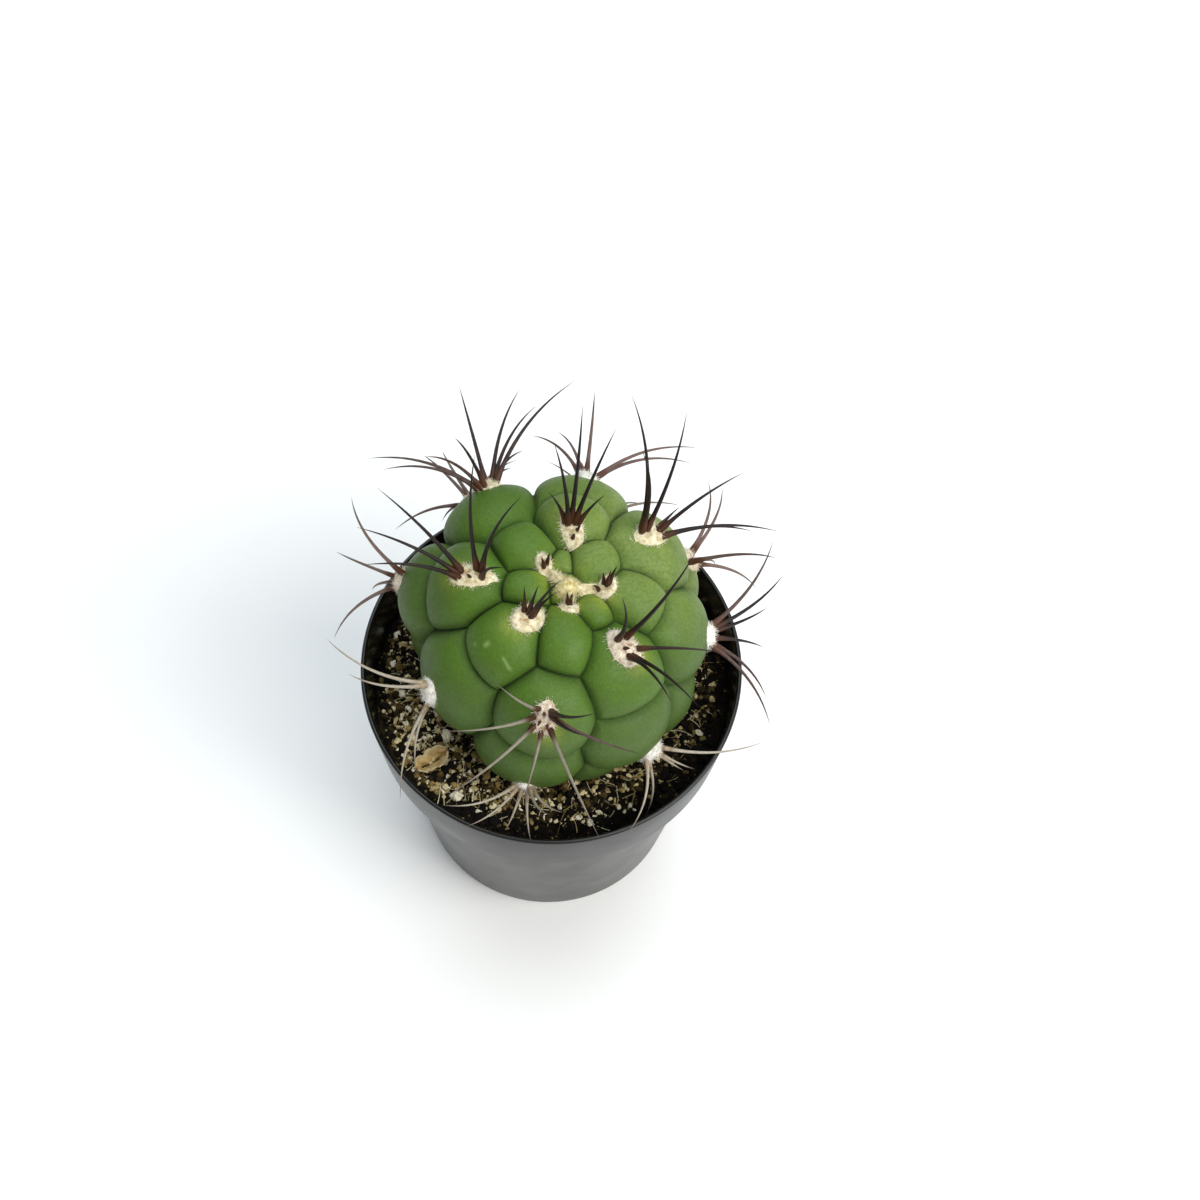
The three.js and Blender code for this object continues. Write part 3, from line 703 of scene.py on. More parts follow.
soil = make_soil()
soil.data.materials.append(peat_finish())
bed_points = corners_of(soil)
first_on_top = 1 + RINGS_BELOW * SOIL_SIDES
on_top = np.zeros(len(bed_points))
on_top[first_on_top:first_on_top + SOIL_RINGS * SOIL_SIDES] = 1
to_wall = SOIL_RADIUS - np.hypot(bed_points[:, 0], bed_points[:, 1])
bearing = (np.degrees(np.arctan2(bed_points[:, 1], bed_points[:, 0])) + 360) % 360
bearings, gravel_shares, damp_and_shadow_widths = zip(*DRYNESS)
# The dark edge along the wall, with fewer and darker crumbs: damp soil, and at the front a painted
# shadow of the wall.
damp_and_shadow_width = np.interp(bearing, bearings, damp_and_shadow_widths)
dry_and_unshaded = np.interp(bearing, bearings, gravel_shares) * np.clip(to_wall / damp_and_shadow_width, 0, 1) ** DAMP_AND_SHADOW_POWER
clear_of_wall = on_top * (to_wall > SOIL_MARGIN)
store(soil, "top", clear_of_wall)
store(soil, "gravel_clear_of_damp_and_shadow", clear_of_wall * dry_and_unshaded)
store(soil, "middle", on_top * (to_wall > FIBRE_MARGIN) * (FEWEST_FIBRES + (1 - FEWEST_FIBRES) * dry_and_unshaded))
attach(soil, "root")
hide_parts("soil")


class Recipe:
    """A Geometry Nodes tree with named inputs, whose nodes are added one short call at a time."""

    KINDS = {bpy.types.Material: "NodeSocketMaterial", int: "NodeSocketInt",
             float: "NodeSocketFloat"}

    def __init__(self, name, **values):
        self.tree = bpy.data.node_groups.new(name, "GeometryNodeTree")
        ends = self.tree.interface
        ends.new_socket("Geometry", in_out="INPUT", socket_type="NodeSocketGeometry")
        ends.new_socket("Geometry", in_out="OUTPUT", socket_type="NodeSocketGeometry")
        self.values = {}
        for label, value in values.items():
            name = label.replace("_", " ")
            kind = self.KINDS[type(value)]
            self.values[ends.new_socket(name, in_out="INPUT", socket_type=kind).identifier] = value
        self.given = self.tree.nodes.new("NodeGroupInput").outputs
        self.end = self.tree.nodes.new("NodeGroupOutput").inputs[0]

    def add(self, kind, sockets=(), output=0, **settings):
        """Adds a node. Sockets are given by name or number, as a value or another node's output."""
        node = self.tree.nodes.new(kind)
        for setting, value in settings.items():
            setattr(node, setting, value)
        for key, value in dict(sockets).items():
            if isinstance(value, bpy.types.NodeSocket):
                self.tree.links.new(value, node.inputs[key])
            else:
                node.inputs[key].default_value = value
        return node.outputs[output]

    def kept(self, name):
        """The number that the mesh keeps under this name."""
        return self.add("GeometryNodeInputNamedAttribute", {"Name": name}, data_type="FLOAT")

    def keep(self, shape, name, value, domain):
        """Keeps a number with each copy or each point, for the material to read."""
        return self.add("GeometryNodeStoreNamedAttribute", {
            "Geometry": shape, "Name": name, "Value": value}, data_type="FLOAT", domain=domain)

    def chance(self, low, high, seed):
        """A random number for each point."""
        return self.add("FunctionNodeRandomValue", {2: low, 3: high, "Seed": seed}, 1)

    def chances(self, low, high, seed):
        """Three random numbers for each point."""
        return self.add("FunctionNodeRandomValue", {0: low, 1: high, "Seed": seed},
                        data_type="FLOAT_VECTOR")

    def calc(self, operation, first, second):
        """Arithmetic on two values, such as MULTIPLY or ADD."""
        return self.add("ShaderNodeMath", {0: first, 1: second}, operation=operation)

    def scaled(self, vector, size):
        """A vector times a number."""
        return self.add("ShaderNodeVectorMath", {0: vector, 3: size}, operation="SCALE")

    def strewn(self, density, on):
        """Points on the given mesh, as dense as the named input times the number kept as `on`."""
        return self.add("GeometryNodeDistributePointsOnFaces", {
            "Mesh": self.given["Geometry"], "Seed": self.given["Seed"],
            "Density": self.calc("MULTIPLY", self.given[density], self.kept(on))})

    def copies(self, points, shape, turn, size):
        """A copy of a shape at each point."""
        return self.add("GeometryNodeInstanceOnPoints", {
            "Points": points, "Instance": shape, "Rotation": turn, "Scale": size})

    def tube(self, path, sides, radius):
        """A closed tube round a path."""
        ring = self.add("GeometryNodeCurvePrimitiveCircle", {"Resolution": sides, "Radius": 1.0})
        return self.add("GeometryNodeCurveToMesh", {
            "Curve": path, "Profile Curve": ring, "Scale": radius, "Fill Caps": True})

    def finish(self, shape, smooth=None):
        """Ends the tree: its shading set, copies made real, and given their material."""
        if smooth is not None:
            shape = self.add("GeometryNodeSetShadeSmooth", {"Geometry": shape,
                                                            "Shade Smooth": smooth})
        shape = self.add("GeometryNodeRealizeInstances", {"Geometry": shape})
        shape = self.add("GeometryNodeSetMaterial", {"Geometry": shape,
                                                     "Material": self.given["Material"]})
        self.tree.links.new(shape, self.end)

    def make(self, name, source):
        """A new piece with the plain mesh that the tree makes from the source's mesh."""
        piece = bpy.data.objects.new(name, source.data.copy())
        bpy.context.scene.collection.objects.link(piece)
        modifier = piece.modifiers.new("recipe", "NODES")
        modifier.node_group = self.tree
        for identifier, value in self.values.items():
            modifier[identifier] = value
        return plain_copy(piece)


# Copies are turned by up to a little over one full turn, in radians. Among the crumbs the small
# ones are the most common, and the palest lie where the soil is dry. Along the wall they are
# darker, for damp soil and a painted shadow of the wall.
FULL_TURN = 6.3
CRUMB_TILT = 0.5
SMALL_OFTEN = 2.2
LEAST_PALE = 0.15
CRUMB_LEAST_SHAPE = 0.6
CRUMB_MOST_SHAPE = (1.5, 1, 1)
CRUMB_NOISE = 1.2
CRUMB_PUSH = 0.35


def scattered(name, on, density, least, most, flatness, seed, material):
    """Small rough lumps that lie on the soil's top. Sizes are across, in millimetres."""
    recipe = Recipe(name, Density=density / MM ** 2, Least=least * MM / 2, Most=most * MM / 2,
                    Seed=seed, Material=material)
    ball = recipe.add("GeometryNodeMeshIcoSphere", {"Radius": 1.0, "Subdivisions": 1})
    size = recipe.calc("POWER", recipe.chance(0, 1, seed=11), SMALL_OFTEN)
    size = recipe.add("ShaderNodeMapRange", {"Value": size, "To Min": recipe.given["Least"],
                                             "To Max": recipe.given["Most"]})
    shape = recipe.chances((CRUMB_LEAST_SHAPE, CRUMB_LEAST_SHAPE, flatness), CRUMB_MOST_SHAPE,
                           seed=12)
    turn = recipe.chances((-CRUMB_TILT, -CRUMB_TILT, 0), (CRUMB_TILT, CRUMB_TILT, FULL_TURN),
                          seed=13)
    lumps = recipe.copies(recipe.strewn("Density", on), ball, turn, recipe.scaled(shape, size))
    # Crumbs are darker in the damp edge and in the painted shadow of the wall.
    pale = recipe.add("ShaderNodeMapRange", {"Value": recipe.kept("gravel_clear_of_damp_and_shadow"),
                                             "To Min": LEAST_PALE})
    shade = recipe.calc("MULTIPLY", recipe.chance(0, 1, seed=14), pale)
    lumps = recipe.keep(lumps, "shade", shade, "INSTANCE")
    lumps = recipe.add("GeometryNodeRealizeInstances", {"Geometry": lumps})
    cloud = recipe.add("ShaderNodeTexNoise", {"Scale": CRUMB_NOISE / (most * MM), "Detail": 2.0}, 1)
    centred = recipe.add("ShaderNodeVectorMath", {0: cloud, 1: (0.5, 0.5, 0.5)},
                         operation="SUBTRACT")
    lumps = recipe.add("GeometryNodeSetPosition", {
        "Geometry": lumps, "Offset": recipe.scaled(centred, most * MM * CRUMB_PUSH)})
    recipe.finish(lumps, smooth=False)
    piece = recipe.make(name, soil)
    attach(piece, "root")


def crumb_finish(name, *stops):
    """Rough mineral or bark. Each crumb has its own colour between the stops."""
    finish = Finish(name, 0.9, Specular_IOR_Level=0.2)
    mottle = finish.calc("MULTIPLY", finish.calc("SUBTRACT", finish.grain(0.5), 0.5), 0.5)
    colour = finish.steps(finish.calc("ADD", finish.kept("shade"), mottle), *stops)
    return finish.done(colour, normal=finish.relief(finish.grain(0.3), 0.15))


bark = crumb_finish("bark_crumbs", (0.0, "040302"), (0.35, "140f07"), (0.65, "4c3c1b"),
                    (1.0, "b0955a"))
pale_grit = crumb_finish("pale_grit", (0.0, "3f3219"), (0.22, "94804c"), (0.5, "dccb98"),
                         (1.0, "fcf6e2"))
scattered("soil_bark", on="top", density=0.65, least=0.6, most=3.2, flatness=0.3, seed=3,
          material=bark)
scattered("soil_grit", on="gravel_clear_of_damp_and_shadow", density=1.05, least=0.45, most=2.2, flatness=0.6, seed=8,
          material=pale_grit)

# A root fibre is a bow one unit long, which is then scaled to its length.
FIBRE_START = (-0.5, 0, 0.02)
FIBRE_MIDDLE = (0, 0.14, 0.1)
FIBRE_END = (0.5, 0, 0.02)
FIBRE_STEPS = 6
FIBRE_SIDES = 4
FIBRE_TILT = 0.2
SHORTEST_FIBRE = 0.4
LONGEST_FIBRE = 1.2


def fibres(name, density, length, radius, seed, material):
    """Thin curved root fibres that lie on the soil's top."""
    recipe = Recipe(name, Density=density / MM ** 2, Length=length * MM, Radius=radius * MM,
                    Seed=seed, Material=material)
    bow = recipe.add("GeometryNodeCurveQuadraticBezier", {
        "Resolution": FIBRE_STEPS, "Start": FIBRE_START, "Middle": FIBRE_MIDDLE, "End": FIBRE_END})
    share = recipe.calc("DIVIDE", recipe.given["Radius"], recipe.given["Length"])
    turn = recipe.chances((-FIBRE_TILT, -FIBRE_TILT, 0), (FIBRE_TILT, FIBRE_TILT, FULL_TURN),
                          seed=31)
    size = recipe.calc("MULTIPLY", recipe.chance(SHORTEST_FIBRE, LONGEST_FIBRE, seed=32),
                       recipe.given["Length"])
    strands = recipe.copies(recipe.strewn("Density", "middle"),
                            recipe.tube(bow, FIBRE_SIDES, share), turn, size)
    strands = recipe.keep(strands, "shade", recipe.chance(0, 1, seed=33), "INSTANCE")
    recipe.finish(strands, smooth=True)
    piece = recipe.make(name, soil)
    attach(piece, "root")


straw = crumb_finish("root_fibres", (0.0, "66532f"), (0.4, "b3a373"), (1.0, "e6dcb8"))
fibres("soil_fibres", density=0.2, length=6.0, radius=0.11, seed=7, material=straw)

# A few larger bits lie loose on the soil: each one's place, half its size, how flat it is, and how
# pale.
LOOSE_BITS = [
    (-27.6, -15.2, 1.9, 0.8, 0.8), (-24, -31.8, 1.7, 0.8, 0.85),
    (-42.5, 13.9, 1.2, 0.6, 0.95), (-43, 5.1, 1.0, 0.8, 0.95), (-7.2, -35.7, 0.9, 0.7, 0.8),
    (-0.6, -36.9, 0.9, 0.6, 0.9), (0.8, -37.9, 0.6, 0.7, 0.7), (2.3, -38.3, 0.7, 0.6, 0.6),
    (3.7, -38.8, 0.6, 0.7, 0.75), (5.1, -38.4, 0.8, 0.5, 0.6), (6.4, -37.9, 0.6, 0.8, 0.7),
    (8, -37.3, 1.0, 0.6, 0.85), (9.3, -38.2, 0.6, 0.7, 0.65), (11.1, -38.4, 1.1, 0.6, 0.9),
    (12.2, -36.9, 0.6, 0.7, 0.8), (13.3, -35.8, 0.9, 0.8, 0.7), (14.8, -36.7, 0.6, 0.6, 0.85),
    (3.2, -34.4, 0.7, 0.8, 0.9), (18.4, -34.1, 0.9, 0.7, 0.8), (20.1, -34.9, 0.6, 0.7, 0.7),
    (21.5, -33.2, 0.8, 0.7, 0.85), (22.7, -34.3, 0.5, 0.7, 0.8), (-36.5, -16, 1.3, 0.7, 0.7),
    (-38, -8, 1.0, 0.7, 0.9), (-18.2, -36, 1.2, 0.6, 0.8), (36.5, 16, 1.2, 0.6, 0.75),
    (-14, 41, 1.6, 0.5, 0.5), (22, 38, 1.3, 0.7, 0.9), (40, -12, 1.1, 0.5, 0.8),
]
BIT_DENTS = 0.45
BIT_DENT_FINENESS = 1.3
BIT_CHIPS = 0.2
BIT_CHIP_FINENESS = 4
BIT_BREADTH = 0.7
BIT_RISE = 0.5


def loose_bits():
    """Rough lumps, each with its own turn, its shape cut by noise."""
    rng = np.random.default_rng(12)
    points, faces, shades = [], [], []
    for x, y, size, flatness, pale in LOOSE_BITS:
        lump = bmesh.new()
        bmesh.ops.create_icosphere(lump, subdivisions=3, radius=1)
        turn = rng.uniform(0, 2 * math.pi)
        first = len(points)
        ground = float(soil_height(np.array(x), np.array(y)) + flatness * size * BIT_RISE)
        for corner in lump.verts:
            rough = 1 + BIT_DENTS * noise.noise(corner.co * BIT_DENT_FINENESS + Vector((x, y, 0)))
            rough += BIT_CHIPS * noise.noise(corner.co * BIT_CHIP_FINENESS + Vector((y, x, 0)))
            wide, deep, high = corner.co * rough * size
            local = Vector((wide, deep * BIT_BREADTH, high * flatness))
            local.rotate(Quaternion((0, 0, 1), turn))
            points.append((x + local.x, y + local.y, ground + local.z))
            shades.append(pale)
        faces += [[first + corner.index for corner in face.verts] for face in lump.faces]
        lump.free()
    piece = new_piece("soil_loose_bits", points, faces, pale_grit, smooth=False)
    store(piece, "shade", shades)
    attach(piece, "root")


loose_bits()

FLAKE_PLACE = (-30.8, -23)
FLAKE_TURN = 36
FLAKE_LENGTH = 9.4
FLAKE_WIDTH = 5.4
FLAKE_THICKNESS = 0.4
FLAKE_STEPS = 28
FLAKE_LIFT = 1.0
FLAKE_CURL = 1.5
CURL_POWER = 1.7
POINTED_ENDS = 2.6
END_FULLNESS = 0.6
BLUNT_END = 0.04
TEARS = 0.35
TEAR_FINENESS = 2.3
SMALL_TEARS = 0.22
SMALL_TEAR_FINENESS = 7
TORN_ENDS = 0.2
TORN_END_FINENESS = 4
SPLIT_DEPTH = 0.9
SPLIT_WIDTH = 0.11
SPLIT_BOW = 0.25
SPLIT_ASIDE = 0.1
SPLIT_REACH = 0.8
WARP = 0.6
RIPPLES = 0.3


def flake_finish():
    """Tan bark, paler at its torn rim and dark down in the split."""
    finish = Finish("bark_flake", 0.85)
    grain = finish.grain(1.2, 4, stretch=(0.5, 1.2, 1))
    colour = finish.steps(grain, (0.3, "8a6a36"), (0.5, "b8985c"), (0.7, "d3b981"))
    colour = finish.blend(finish.calc("MULTIPLY", finish.kept("rim"), 0.7), colour, "e6d5a8")
    colour = finish.blend(finish.kept("split"), colour, "3a2712")
    return finish.done(colour, normal=finish.relief(grain, 0.3))


def bark_flake():
    """A tan flake of bark with torn sides that curl up and a dark split along its middle."""
    flake = bmesh.new()
    bmesh.ops.create_grid(flake, x_segments=FLAKE_STEPS, y_segments=FLAKE_STEPS, size=1)
    points, rims, splits = [], [], []
    ground = float(soil_height(*np.array(FLAKE_PLACE))) + FLAKE_LIFT
    turn = math.radians(FLAKE_TURN)
    for corner in flake.verts:
        x, y = corner.co.x, corner.co.y
        side = math.copysign(1, y)
        taper = max(1 - abs(x) ** POINTED_ENDS, BLUNT_END) ** END_FULLNESS
        torn = 1 + TEARS * noise.noise(Vector((x * TEAR_FINENESS, side, 3)))
        torn += SMALL_TEARS * noise.noise(Vector((x * SMALL_TEAR_FINENESS, side, 5)))
        torn_end = 1 + TORN_ENDS * noise.noise(Vector((0, y * TORN_END_FINENESS, 1)))
        wide = x * FLAKE_LENGTH / 2 * torn_end
        deep = y * taper * torn * FLAKE_WIDTH / 2
        from_split = (y - SPLIT_BOW * x * x + SPLIT_ASIDE) / SPLIT_WIDTH
        split = math.exp(-from_split ** 2) * max(1 - (x / SPLIT_REACH) ** 4, 0)
        high = FLAKE_CURL * abs(y) ** CURL_POWER - SPLIT_DEPTH * split
        high += WARP * noise.noise(Vector((x * 2, y * 2, 7)))
        high += RIPPLES * noise.noise(Vector((x * 5, y * 9, 2)))
        points.append((FLAKE_PLACE[0] + wide * math.cos(turn) - deep * math.sin(turn),
                       FLAKE_PLACE[1] + wide * math.sin(turn) + deep * math.cos(turn),
                       ground + high))
        rims.append(abs(y) ** 3)
        splits.append(split)
    faces = [[corner.index for corner in face.verts] for face in flake.faces]
    flake.free()
    piece = new_piece("soil_bark_flake", points, faces, flake_finish())
    store(piece, "rim", rims)
    store(piece, "split", splits)
    wall = piece.modifiers.new("wall", "SOLIDIFY")
    wall.thickness = FLAKE_THICKNESS * MM
    plain_copy(piece)
    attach(piece, "root")


bark_flake()

# ---------------------------------------------------------------------------------------------
# Areoles. Each is a pad of short wool in the notch above a tubercle's chin, with a bunch of stiff
# curved spines that grow out of it. Young spines are black with a brown root, old ones grey-pink.
# ---------------------------------------------------------------------------------------------
OUTWARD_SHARE = 0.6
SLOPE_REACH = 0.06
SLOPE_POINTS = 8


class Areole:
    """The frame of an areole: its middle on the skin, and the ways out, up to the crown, aside."""

    def __init__(self, place, nudge, polar):
        direction = on_spiral(place, nudge, polar)
        reach = math.degrees(SLOPE_REACH)
        pitch = reach / math.sin(math.radians(polar))
        around = on_skin(np.array([
            on_spiral(place, nudge + pitch * math.cos(angle), polar + reach * math.sin(angle))
            for angle in turns(SLOPE_POINTS)]))
        self.base = on_skin(direction)[0]
        ring = around - self.base
        slope = np.cross(ring, np.roll(ring, -1, axis=0)).sum(0)
        straight_out = FROM_PLANT @ direction
        slope *= math.copysign(1, slope @ straight_out) / np.linalg.norm(slope)
        out = slope + OUTWARD_SHARE * straight_out
        self.out = out / np.linalg.norm(out)
        up = FROM_PLANT[:, 2] - (FROM_PLANT[:, 2] @ self.out) * self.out
        self.up = up / np.linalg.norm(up)
        self.side = np.cross(self.up, self.out)

    def at(self, along, across, rise):
        """Points over the skin, at distances toward the crown and aside from the middle."""
        flat = self.base + np.outer(along, self.up) + np.outer(across, self.side) - STEM_CENTRE
        return on_skin(unit(flat @ FROM_PLANT), rise)


PAD_SIDES = 30
PAD_RINGS = 10
PAD_SINK = 0.8
PAD_RAGGED = 0.16
PAD_LUMPS = 0.6
PAD_LUMP_SIZE = 1.1
DOME_POWER = 2.4
PAD_DIP = 0.35
DIP_WIDTH = 0.42
CORE_WIDTH = 0.6
HAIRS_OUTWARD = 1.4
BARE_DIP = 0.2
FEWEST_HAIRS = 0.1


def pad_mesh(name, areole, length, width, height, dip=PAD_DIP, turn=0, shift=(0, 0)):
    """A lumpy dome of wool that dips in its middle, where the spines stand. Its size is half its
    length, half its width and its height."""
    angles = -turns(PAD_SIDES)
    heading = math.radians(turn)
    ragged = np.array([
        1 + PAD_RAGGED * noise.noise(Vector((math.cos(angle) * 2, math.sin(angle) * 2, length)))
        for angle in angles])
    shares = np.linspace(1, 1 / PAD_RINGS, PAD_RINGS)
    rings = []
    for share in shares:
        along = share * ragged * length * np.cos(angles)
        across = share * ragged * width * np.sin(angles)
        turned_along = along * math.cos(heading) - across * math.sin(heading) + shift[0]
        turned_across = along * math.sin(heading) + across * math.cos(heading) + shift[1]
        rise = (height + PAD_SINK) * (1 - share ** DOME_POWER) - PAD_SINK
        rise -= dip * height * math.exp(-(share / DIP_WIDTH) ** 2)
        dome = areole.at(turned_along, turned_across, rise)
        lumps = np.array([noise.noise(Vector(point) / PAD_LUMP_SIZE) for point in dome])
        lumpy_rise = rise + PAD_LUMPS * lumps * (1 - share ** 3)
        rings.append(areole.at(turned_along, turned_across, lumpy_rise))
    under = areole.at([shift[0]], [shift[1]], -2 * PAD_SINK)[0]
    over = areole.at([shift[0]], [shift[1]], height * (1 - dip))[0]
    pad = ringed(name, under, rings, over)
    shares = np.repeat(shares, PAD_SIDES)
    hairiness = np.clip(shares * HAIRS_OUTWARD - BARE_DIP * (dip > 0), FEWEST_HAIRS, 1)
    hairiness[:PAD_SIDES] = 0
    core = np.exp(-(shares / CORE_WIDTH) ** 2) * (dip > 0)
    store(pad, "woolly", np.concatenate([[0], hairiness, [FEWEST_HAIRS]]))
    store(pad, "core", np.concatenate([[0], core, [dip > 0]]))
    store(pad, "hair", np.zeros(len(shares) + 2))
    return pad


def wool_finish(name, pale, deep, core):
    """Felted wool, mottled between a pale and a deeper colour, and browner where the spines stand."""
    finish = Finish(name, 0.95, Sheen_Weight=0.3)
    mottle = finish.grain(1.3, 4)
    colour = finish.blend(finish.span(mottle, 0.3, 0.6), deep, pale)
    worn = finish.calc("MULTIPLY", finish.kept("core"), finish.span(mottle, 0.3, 0.65, 0.9, 0.2))
    colour = finish.blend(worn, colour, core)
    colour = finish.blend(finish.calc("MULTIPLY", finish.kept("hair"), 0.8), colour, pale)
    return finish.done(colour, normal=finish.relief(finish.grain(0.35, 4), 0.2))


HAIRS = 10.0
HAIR_LENGTH = 1.05
HAIR_RADIUS = 0.065
HAIR_STEPS = 3
HAIR_SIDES = 3
HAIR_TILT = 0.9
SHORTEST_HAIR = 0.45
LONGEST_HAIR = 1.15

# A hair is a hook about one unit long that narrows to its tip, and is then scaled to its length.
HAIR_FOOT = (0, 0, -0.12)
HAIR_BEND = (0.12, 0, 0.6)
HAIR_TIP = (0.55, 0, 0.85)
HAIR_TIP_SHARE = 0.35


def make_wool(pad, name, material, seed):
    """Adds short curved hairs to a pad, each a thin prism that narrows to its end."""
    recipe = Recipe(name, Hairs=HAIRS / MM ** 2, Hair_length=HAIR_LENGTH * MM,
                    Hair_radius=HAIR_RADIUS * MM, Seed=seed, Material=material)
    points = recipe.strewn("Hairs", "woolly")
    hook = recipe.add("GeometryNodeCurveQuadraticBezier", {
        "Resolution": HAIR_STEPS, "Start": HAIR_FOOT, "Middle": HAIR_BEND, "End": HAIR_TIP})
    taper = recipe.add("ShaderNodeMapRange", {
        "Value": recipe.add("GeometryNodeSplineParameter"), "To Min": 1.0,
        "To Max": HAIR_TIP_SHARE})
    share = recipe.calc("DIVIDE", recipe.given["Hair radius"], recipe.given["Hair length"])
    hair = recipe.tube(hook, HAIR_SIDES, recipe.calc("MULTIPLY", taper, share))
    tilt = recipe.chances((-HAIR_TILT, -HAIR_TILT, 0), (HAIR_TILT, HAIR_TILT, FULL_TURN), seed=21)
    facing = recipe.add("FunctionNodeRotateRotation", {
        "Rotation": points.node.outputs["Rotation"], "Rotate By": tilt}, rotation_space="LOCAL")
    size = recipe.calc("MULTIPLY", recipe.chance(SHORTEST_HAIR, LONGEST_HAIR, seed=22),
                       recipe.given["Hair length"])
    hairs = recipe.copies(points, hair, facing, size)
    hairs = recipe.add("GeometryNodeRealizeInstances", {"Geometry": hairs})
    hairs = recipe.keep(hairs, "hair", 1.0, "POINT")
    both = recipe.add("GeometryNodeJoinGeometry", {"Geometry": recipe.given["Geometry"]})
    recipe.tree.links.new(hairs, both.node.inputs["Geometry"])
    recipe.finish(both)
    piece = recipe.make(name, pad)
    bpy.data.objects.remove(pad)
    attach(piece, "root")
    return piece


SPINE_STEPS = 18
SPINE_SIDES = 8
SPINE_CURL = 0.35
SPINE_RISE = 0.6
LONG_SPINE = 18
ROOT_SINK = 1.4
ROOT_SPREAD = 0.38
FULL_SPREAD_LEAN = 32
ROOT_RADIUS = 0.5
RADIUS_PER_LENGTH = 0.0035
SHORT_THICKNESS = 0.65
THICKENS_OVER = 30
THINNER_WITH_AGE = 0.25
ROOT_SWELL = 0.6
ROOT_LENGTH = 5.2

# How thick a spine is, as a share of its full thickness, at shares of the way to its tip.
TAPER = [(0, 1.1), (0.2, 1.0), (0.4, 0.82), (0.6, 0.62), (0.8, 0.38), (0.93, 0.17), (1, 0.03)]


def spine_roots(areole, pad, spines):
    """The foot of each spine, under the wool. Together they stand evenly about the pad's middle."""
    length, width, _, up, aside = pad
    ways = np.radians([spine[0] for spine in spines])
    leans = np.array([spine[1] for spine in spines])
    spread = ROOT_SPREAD * np.minimum(1, leans / FULL_SPREAD_LEAN)
    along = spread * length * np.cos(ways)
    across = spread * width * np.sin(ways)
    return areole.at(along - along.mean() + up, across - across.mean() + aside, -ROOT_SINK)


def spine_path(areole, root, bearing, lean, length):
    """A curve from the spine's foot to its tip, which bows away from the skin."""
    turn = math.radians(bearing)
    tilt = math.radians(lean)
    aside = math.cos(turn) * areole.up + math.sin(turn) * areole.side
    heading = math.cos(tilt) * areole.out + math.sin(tilt) * aside
    over_root = root + (ROOT_SINK + SPINE_RISE) * areole.out
    over_base = areole.base + SPINE_RISE * areole.out
    origin = over_root + (over_base - over_root) * min(1, length / LONG_SPINE)
    tip = origin + length * heading
    bow = areole.out - (heading @ areole.out) * heading
    knee = origin + length / 2 * (heading + SPINE_CURL * bow)
    t = np.linspace(0, 1, SPINE_STEPS)[:, None]
    return (1 - t) ** 2 * root + 2 * t * (1 - t) * knee + t ** 2 * tip


def spine_radii(lengths, ages, along, from_foot):
    """How thick each spine is at each step. Short and old ones are thinner, and a root swells."""
    full = ROOT_RADIUS + RADIUS_PER_LENGTH * lengths
    full *= np.minimum(1, SHORT_THICKNESS + lengths / THICKENS_OVER)
    full *= 1 - THINNER_WITH_AGE * ages
    swell = 1 + ROOT_SWELL * np.exp(-(from_foot / ROOT_LENGTH) ** 4)
    return full[:, None] * (np.interp(along, *zip(*TAPER)) * swell)


def spine_recipe(material):
    """Turns paths into round spines, as thick at each point as the path says."""
    recipe = Recipe("round_spines", Sides=SPINE_SIDES, Material=material)
    path = recipe.add("GeometryNodeMeshToCurve", {"Mesh": recipe.given["Geometry"]})
    recipe.finish(recipe.tube(path, recipe.given["Sides"], recipe.kept("thick")), smooth=True)
    return recipe


def spine_finish():
    """Horny spines: the colour goes by age, and by how far along the spine it is."""
    finish = Finish("spines", 0.5, Specular_IOR_Level=0.28)
    streak = finish.calc("MULTIPLY", finish.calc("SUBTRACT", finish.grain(1.3), 0.5), 0.2)
    age = finish.calc("ADD", finish.kept("age"), streak)
    shaft = finish.steps(age, (0.0, "150e0a"), (0.3, "2b1d19"), (0.55, "6f5851"), (0.8, "7c7566"),
                         (1.0, "a89f8f"))
    root = finish.steps(age, (0.0, "3a1f0e"), (0.5, "513221"), (0.88, "402611"), (0.98, "a5947c"))
    tip = finish.steps(age, (0.0, "0c0907"), (0.5, "3a2a28"), (1.0, "75665c"))
    colour = finish.blend(finish.span(finish.kept("from_foot"), 4.2, 7.2), root, shaft)
    colour = finish.blend(finish.span(finish.kept("along"), 0.6, 1), colour, tip)
    relief = finish.relief(finish.grain(0.4, stretch=(1, 1, 0.3)), 0.04)
    return finish.done(colour, normal=relief)


round_spines = spine_recipe(spine_finish())
cream = wool_finish("cream_wool", pale="f2eacb", deep="c6b584", core="9a7a50")
pink = wool_finish("pinkish_wool", pale="f0e5d0", deep="c0a688", core="855f44")
white = wool_finish("white_wool", pale="f6f4ec", deep="cfc9ba", core="b8ab98")


